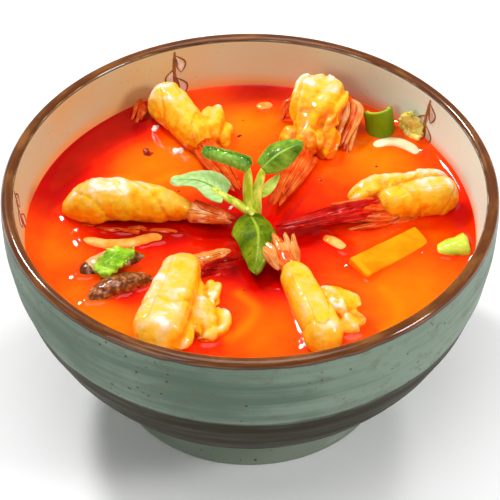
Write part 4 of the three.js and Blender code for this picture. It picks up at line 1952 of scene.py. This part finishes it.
@dataclass
class Bits:
    """Small things scattered on the soup: one irregular chip, copied with its own mesh each time."""

    name: str
    slot: str
    look: Produce
    spots: Sequence[tuple[float, float, float]]
    flat: float = 0.35
    seed: int = 3

    def _chip(self) -> bpy.types.Object:
        """Irregular chip one millimetre in radius.

        Returns:
            The chip.
        """
        Bench.clear()
        bpy.ops.mesh.primitive_ico_sphere_add(subdivisions=3, radius=MM)
        chip = Bench.take(f"{self.name}_chip")
        bpy.ops.transform.resize(value=(1.0, 0.75, self.flat), center_override=(0.0, 0.0, 0.0))
        Bench.close()
        Bench.roughen(chip, 0.9 * MM, 0.9 * MM)
        return chip

    def build(self) -> bpy.types.Object:
        """Lay the chips on the soup as one object.

        Returns:
            The finished piece.
        """
        dice = random.Random(self.seed)
        chip = self._chip()
        shape = Bench.corners(chip)
        laid = []
        for x, y, size in self.spots:
            copy = chip.copy()
            copy.data = chip.data.copy()
            bpy.context.collection.objects.link(copy)
            turn = dice.uniform(0.0, FULL_TURN)
            cos, sin = math.cos(turn), math.sin(turn)
            spin = np.array([[cos, -sin, 0.0], [sin, cos, 0.0], [0.0, 0.0, 1.0]])
            stretch = np.array([dice.uniform(0.7, 1.4), dice.uniform(0.7, 1.2), 1.0]) * size
            Bench.move(copy, (shape * stretch) @ spin.T + np.array(over_soup(x, y, 0.12 * size)))
            laid.append(copy)
        bpy.data.objects.remove(chip)
        whole = Bench.join(self.name, laid)
        whole.data.materials.append(self.look.material())
        return Bench.hand_over(whole, self.slot)


@dataclass(frozen=True)
class Lamp:
    """Soft box: where it hangs, its size, its power and if wet surfaces mirror it. It points at the bowl."""

    name: str
    place: Triple
    size: float
    power: float
    mirrored: bool = True
    aim_height: float = 0.08

    def hang(self) -> None:
        """Hang the lamp."""
        Bench.clear()
        bpy.ops.object.light_add(type="AREA", location=self.place)
        lamp = bpy.context.object
        lamp.name = self.name
        lamp.data.size = self.size
        lamp.data.energy = self.power
        lamp.visible_glossy = self.mirrored
        aim = self.aim_height * UP - Vector(self.place)
        lamp.rotation_euler = aim.to_track_quat("-Z", "Y").to_euler()


@dataclass
class Studio:
    """Pale floor, soft lamps and the camera at the photo's angle."""

    lamps: tuple[Lamp, ...]
    sky: float = 0.16
    elevation: float = 43.3
    distance: float = 0.900
    aim_height: float = 0.0641
    lens: float = 165.74
    sensor: float = 36.0
    nearest: float = 0.01
    floor_size: float = 6.0

    def build(self) -> None:
        """Lay the floor, hang the lamps and set the camera."""
        Bench.clear()
        bpy.ops.mesh.primitive_plane_add(size=self.floor_size)
        floor = bpy.context.object
        floor.name = "studio_floor"
        floor.data.materials.append(Paper().material())
        for lamp in self.lamps:
            lamp.hang()
        world = bpy.data.worlds.new("studio")
        world.use_nodes = True
        background = world.node_tree.nodes["Background"]
        background.inputs["Color"].default_value = (1.0, 1.0, 1.0, 1.0)
        background.inputs["Strength"].default_value = self.sky
        bpy.context.scene.world = world
        rise = math.radians(self.elevation)
        spot = (0.0, -self.distance * math.cos(rise), self.aim_height + self.distance * math.sin(rise))
        bpy.ops.object.camera_add(location=spot, rotation=(math.pi / 2 - rise, 0.0, 0.0))
        camera = bpy.context.object
        camera.data.lens = self.lens
        camera.data.sensor_width = self.sensor
        camera.data.clip_start = self.nearest
        bpy.context.scene.camera = camera
        bpy.context.scene.view_settings.view_transform = "Standard"
        LOG.info("studio ready")


PRAWNS = (
    Prawn(
        "prawn_right", (80.5, 14.5, 3), 6, (48, 8, 4.5), (10, -6, 6), 7.4,
        (
            Petal(((38.5, 11.5, 5), (48, 16.4, 6.5), (64, 22.5, 5.5)), 4.8),
            Petal(((54, 18.5, 5), (68, 22.8, 5.5), (78, 24.5, 4)), 4.4),
            Petal(((48.5, 22.5, 5), (50, 18, 6)), 3.0),
        ),
        TailLook.CRIMSON, TailLook.CRIMSON,
        (
            LegRow((66, 6, 1.6), (56, 3, 2.0), 4, (-18, -3, -1), 1.7),
            LegRow((58, 3.5, 3.5), (54, 9, 7.5), 6, (-21, -1.5, -0.5), 1.8, bow=(0, 0, 1.6)),
        ),
        -0.03, 1.8, stained=0.15,
    ),
    Prawn(
        "prawn_back_right", (27, 77, 13), 8.5, (21, 38, 4), (9, 8, 4.5), 7.0,
        (
            Petal(((30.5, 77, 13.5), (28, 65, 12), (25, 52, 7.5)), 9.5, 0.5),
            Petal(((24.5, 76.5, 15), (21, 66, 13), (19, 54, 8)), 3.6),
            Petal(((33, 76, 15), (29, 62, 13), (26, 53, 9)), 3.2),
            Petal(((38.5, 70, 12), (34.5, 60, 10.5), (30, 50, 8)), 3.8),
            Petal(((25, 54, 7.5), (23.5, 40, 4.5)), 4.6),
            Petal(((32, 54, 7), (30, 39, 2.5)), 4.4),
            Petal(((19, 52, 6.5), (13.5, 45.5, 3)), 4.2),
            Petal(((22, 50, 8), (22, 43, 5.5)), 3.0),
            Petal(((28, 49, 8.5), (27, 41, 5)), 3.0),
            Petal(((34, 51, 6.5), (33.5, 43, 2.5)), 2.8),
        ),
        TailLook.ORANGE, TailLook.ORANGE,
        (
            LegRow((35.5, 69, 12.5), (41, 67, 11), 6, (-2, -25, -11), 1.4, bow=(3.2, 3.0, 2.5)),
            LegRow((37, 68, 13), (42, 64, 11), 4, (-3, -22, -10), 1.2, TailLook.PALE, (3.2, 3.0, 2.5)),
            LegRow((18, 74, 8), (16, 69, 6), 3, (-4, -6, -5), 1.0),
        ),
        -0.64, 3.0, shell_sizes=(5.2, 2.4), root_share=0.5, ragged=0.6,
    ),
    Prawn(
        "prawn_back_left", (-38, 75, 7.5), 7.5, (-17, 42, 4.5), (-4, 16, 5), 8.0,
        (
            Petal(((-15, 67, 5.5), (-15.2, 55, 5.5), (-17.5, 46, 4.5)), 5.0),
            Petal(((-11, 59, 2.5), (-11.5, 47, 2)), 4.2),
        ),
        TailLook.ORANGE, TailLook.ORANGE,
        (
            LegRow((-34, 60, 2), (-25, 49, 1.6), 6, (9, -12, -0.8), 0.7),
            LegRow((-45, 74, 4), (-43, 70, 4), 4, (-3, -8, -3), 1.2),
        ),
        -0.10, segments=2.0,
    ),
    Prawn(
        "prawn_left", (-72.5, 8.2, 0.8), 9, (-20, 4.8, 5), (-5.5, 0, 4.5), 8.4,
        (Petal(((-68, 9, 4), (-62, 13, 9.5)), 4.0),),
        TailLook.PALE, TailLook.ORANGE,
        (
            LegRow((-66, 1, 0.8), (-40, -1.5, 1.0), 7, (14, -2, -0.5), 1.5),
            LegRow((-64, 0, 0.6), (-48, -1.5, 0.6), 4, (14, -1, -0.4), 1.4, TailLook.CRIMSON),
        ),
        blunt=1.35, stained=0.32, even=0.08,
    ),
    Prawn(
        "prawn_front_left", (-35.5, -73, 7), 9, (-23, -23.5, 8.5), (-5.5, -17.5, 5.5), 9.8,
        (
            Petal(((-20.5, -34, 5), (-21.5, -47, 5.5)), 3.8),
            Petal(((-13.5, -32.5, 3), (-14.5, -46, 4)), 3.4),
            Petal(((-19.5, -43, 4), (-18, -60, 3)), 6.6, 0.8),
            Petal(((-11, -45, 1.5), (-11, -56, 1.5), (-19, -62, 1.5)), 3.6),
            Petal(((-26, -50, 6), (-26.5, -70, 5)), 5.4),
        ),
        TailLook.PALE, TailLook.CRIMSON,
        (LegRow((-20, -28, 2.0), (-17, -23, 3.0), 5, (14, 5, -2), 1.4, TailLook.CRIMSON),),
        -0.07, strips=0, shell_sizes=(2.8, 1.4), flat=0.85, square=3.2, segments=1.5, ragged=0.5, even=0.22,
    ),
    Prawn(
        "prawn_front_right", (30, -71, 3), 6.5, (14, -26, 7), (8.5, -13.5, 9.5), 7.6,
        (
            Petal(((26, -36, 2.5), (40.5, -46.5, 0.4)), 6.4, 0.5),
            Petal(((33, -50, 1.4), (41.5, -57, 0.2)), 6.2, 0.5),
            Petal(((31.5, -43, 4.0), (33.5, -51, 3.0)), 3.4),
        ),
        TailLook.ORANGE, TailLook.PALE, (), -0.10, 7.5, shell_sizes=(4.0, 2.2), segments=1.5, ragged=0.6,
    ),
)

NOODLES = (
    Noodle(
        "noodle_right",
        ((48.5, 46, -3), (52, 49.5, -0.4), (58.5, 50.2, 0.4), (65, 46.4, 0.2), (69.5, 41, -3)),
    ),
    Noodle("noodle_centre", ((26.5, -4.5, -2.5), (30.5, -7, -0.4), (35, -10.6, -0.6), (38, -13.5, -3)), True),
    Noodle(
        "noodle_left",
        ((-66, -5.5, -0.6), (-57, -9.5, 0.2), (-47, -9.5, 0.4), (-36, -5.8, -0.4), (-30, -7, -3)),
        True,
    ),
    Noodle("noodle_back", ((2, 70, -4), (4.5, 73, -0.6), (7.5, 73.5, -0.6), (10, 71, -4)), True),
)

# Negative pools redden the soup round the prawns and by the wall: red oil, with painted shade; positive ones
# are open orange soup.
POOLS = (
    Pool(2, 66, 17, 0.36),
    Pool(-38, 38, 22, 0.34),
    Pool(-17, 45, 11, 0.2),
    Pool(41, 42, 16, 0.2),
    Pool(56, 44, 15, 0.3),
    Pool(60, -36, 24, 0.36),
    Pool(9, -54, 18, 0.24),
    Pool(-75, -10, 14, 0.18),
    Pool(-54, -50, 20, 0.38),
    Pool(-78, 34, 20, -0.40),
    Pool(-62, 60, 18, -0.52),
    Pool(-42, 66, 13, -0.26),
    Pool(2, 88, 14, -0.34),
    Pool(30, 84, 14, -0.2),
    Pool(20, 0, 16, -0.34),
    Pool(-7, -21, 9, -0.26),
    Pool(9, -27, 12, -0.44),
    Pool(-36, 0, 14, -0.3),
    Pool(-52, 0, 12, -0.26),
    Pool(-13, 2, 14, -0.3),
    Pool(-5, 23, 9, -0.2),
    Pool(84, 8, 11, -0.26),
    Pool(-46, -37, 8, -0.4),
)

SUNKEN = (
    ((50, -33, 0), (55, -40, 0), (55, -49, 0), (50, -55, 0)),
    ((-4, -36, 0), (2, -44, 0), (-2, -54, 0), (-8, -60, 0)),
    ((-62, 24, 0), (-50, 30, 0), (-40, 27, 0), (-30, 32, 0)),
)

LAMPS = (
    Lamp("key", (-0.50, 0.60, 0.92), 0.18, 8.5),
    Lamp("back", (0.45, 0.65, 0.75), 0.20, 3.0, mirrored=False),
    Lamp("side", (0.95, -0.35, 0.65), 0.28, 6.0),
    Lamp("top", (0.0, -0.15, 1.35), 0.90, 7.5),
    Lamp("front", (-0.75, -0.85, 0.60), 0.70, 3.4),
)


def vegetables() -> list[bpy.types.Object]:
    """Make the carrot, mushrooms and green pieces.

    Returns:
        The finished pieces.
    """
    skin = (0.17, 0.042, 0.009), (0.62, 0.24, 0.065), (0.60, 0.08, 0.004)
    browns = Produce(
        "mushroom_skin", *skin, (480.0, 480.0, 480.0), (0.40, 0.72), 1.0 * MM, 1.2 * MM, 1.0, 0.24
    )
    inner = (0.66, 0.42, 0.17), (0.12, 0.022, 0.005), (0.80, 0.26, 0.02)
    cut = Produce(
        "mushroom_flesh", *inner, (160.0, 160.0, 160.0), (0.55, 0.85), 1.2 * MM, 0.4 * MM, painted=True
    )
    crinkled = {"frill": 0.9 * MM, "along": 48, "across": 28}
    herb_rib = [over_soup(-57.5, -30, 5.2), over_soup(-51.5, -23, 7.1), over_soup(-44.5, -17.5, 5.6)]
    herb = Blade("herb_leaf", herb_rib, 5.2 * MM, 30, 1.0 * MM, **crinkled)
    cabbage_rib = [over_soup(63, 53.6, -2), over_soup(64.4, 55, 5), over_soup(65, 55.6, 12)]
    outward = Vector((-0.75, -0.66, 0.1))
    cabbage = Blade("cabbage_piece", cabbage_rib, 6.2 * MM, 24, 0.9 * MM, 1.2 * MM, outward, **crinkled)
    lime = Greens("herb_face", (0.08, 0.28, 0.005), (0.54, 0.85, 0.035), (0.34, 0.62, 0.03), gloss=0.5)
    frill = Greens("cabbage_face", (0.58, 0.46, 0.02), (1.0, 0.92, 0.24), (0.98, 0.90, 0.45), gloss=0.4)
    return [
        Carrot().build(),
        Mushroom("mushroom_strip", ((-62, -40.5), (-36, -28.5)), (4.6, 4.2), 0.6, 1.0 * MM, browns).build(),
        Mushroom("mushroom_slice", ((-66, -26.5), (-40, -16)), (5, 2.6), 0.8, 0.7 * MM, cut, 0.35).build(),
        Scrap("herb_leaf", "herb", herb, 2.2 * MM, (lime, lime)).build(),
        Pepper().build(),
        Scrap("cabbage_piece", "cabbage", cabbage, 1.6 * MM, (frill, frill)).build(),
        Stalk().build(),
    ]


def crumbs() -> None:
    """Scatter chilli flakes on the soup, and white froth chips that also stand as painted glints."""
    dice = random.Random(CRUMB_SEED)
    flakes = [(-41.6, 45.7, 1.9), (-40.2, 44.2, 1.2), (-4.7, 55.0, 1.3)]
    flakes += [(28.0, 28.7, 0.8), (30.8, -14.6, 0.7)]
    for _ in range(LOOSE_FLAKES):
        radius, turn = FLAKE_SPREAD * math.sqrt(dice.random()), dice.uniform(0.0, FULL_TURN)
        flakes.append((radius * math.cos(turn), radius * math.sin(turn), dice.uniform(0.18, 0.5)))
    red = Produce("chilli_flake", (0.16, 0.004, 0.002), (0.40, 0.02, 0.004), (0.30, 0.01, 0.0))
    Bits("chilli_flakes", "soup", red, flakes).build()
    # White froth chips, also placed as painted glints on the soup.
    foam = [(-38.4, 60.0, 1.7), (-28.8, 45.7, 2.0), (-26.8, 47.5, 1.1), (-7.6, 12.2, 0.9), (66.0, -14.0, 1.0)]
    white = Produce("foam", (0.90, 0.80, 0.72), (1.0, 0.97, 0.94), (1.0, 0.75, 0.55), wet_height=0.3 * MM)
    Bits("foam_bits", "soup", white, foam, 0.7, 5).build()


def main() -> None:
    """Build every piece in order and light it."""
    logging.basicConfig(level=logging.INFO, format="%(name)s: %(message)s")
    bowl = Bowl()
    bowl.build()
    Twigs(bowl).build()
    flesh = Flesh().material()
    shells = {look: Shell(look.name.lower(), look.value).material() for look in TailLook}
    inside = [prawn.build(flesh, shells) for prawn in PRAWNS]
    inside.append(Sprig().build())
    inside += vegetables()
    creams = (1.0, 0.82, 0.46), (1.0, 0.96, 0.74), (1.0, 0.42, 0.05)
    oranges = (0.95, 0.30, 0.02), (1.0, 0.56, 0.16), (1.0, 0.24, 0.0)
    plain = Produce("noodle", *creams, wet_height=0.9 * MM)
    stained = Produce("noodle_stained", *oranges, wet_height=1.5 * MM)
    looks = {True: stained.material(), False: plain.material()}
    inside += [noodle.build(looks[noodle.stained]) for noodle in NOODLES]
    Soup(bowl, POOLS, SUNKEN).build(inside)
    crumbs()
    Studio(LAMPS).build()
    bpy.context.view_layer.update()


if __name__ == "__main__":
    main()
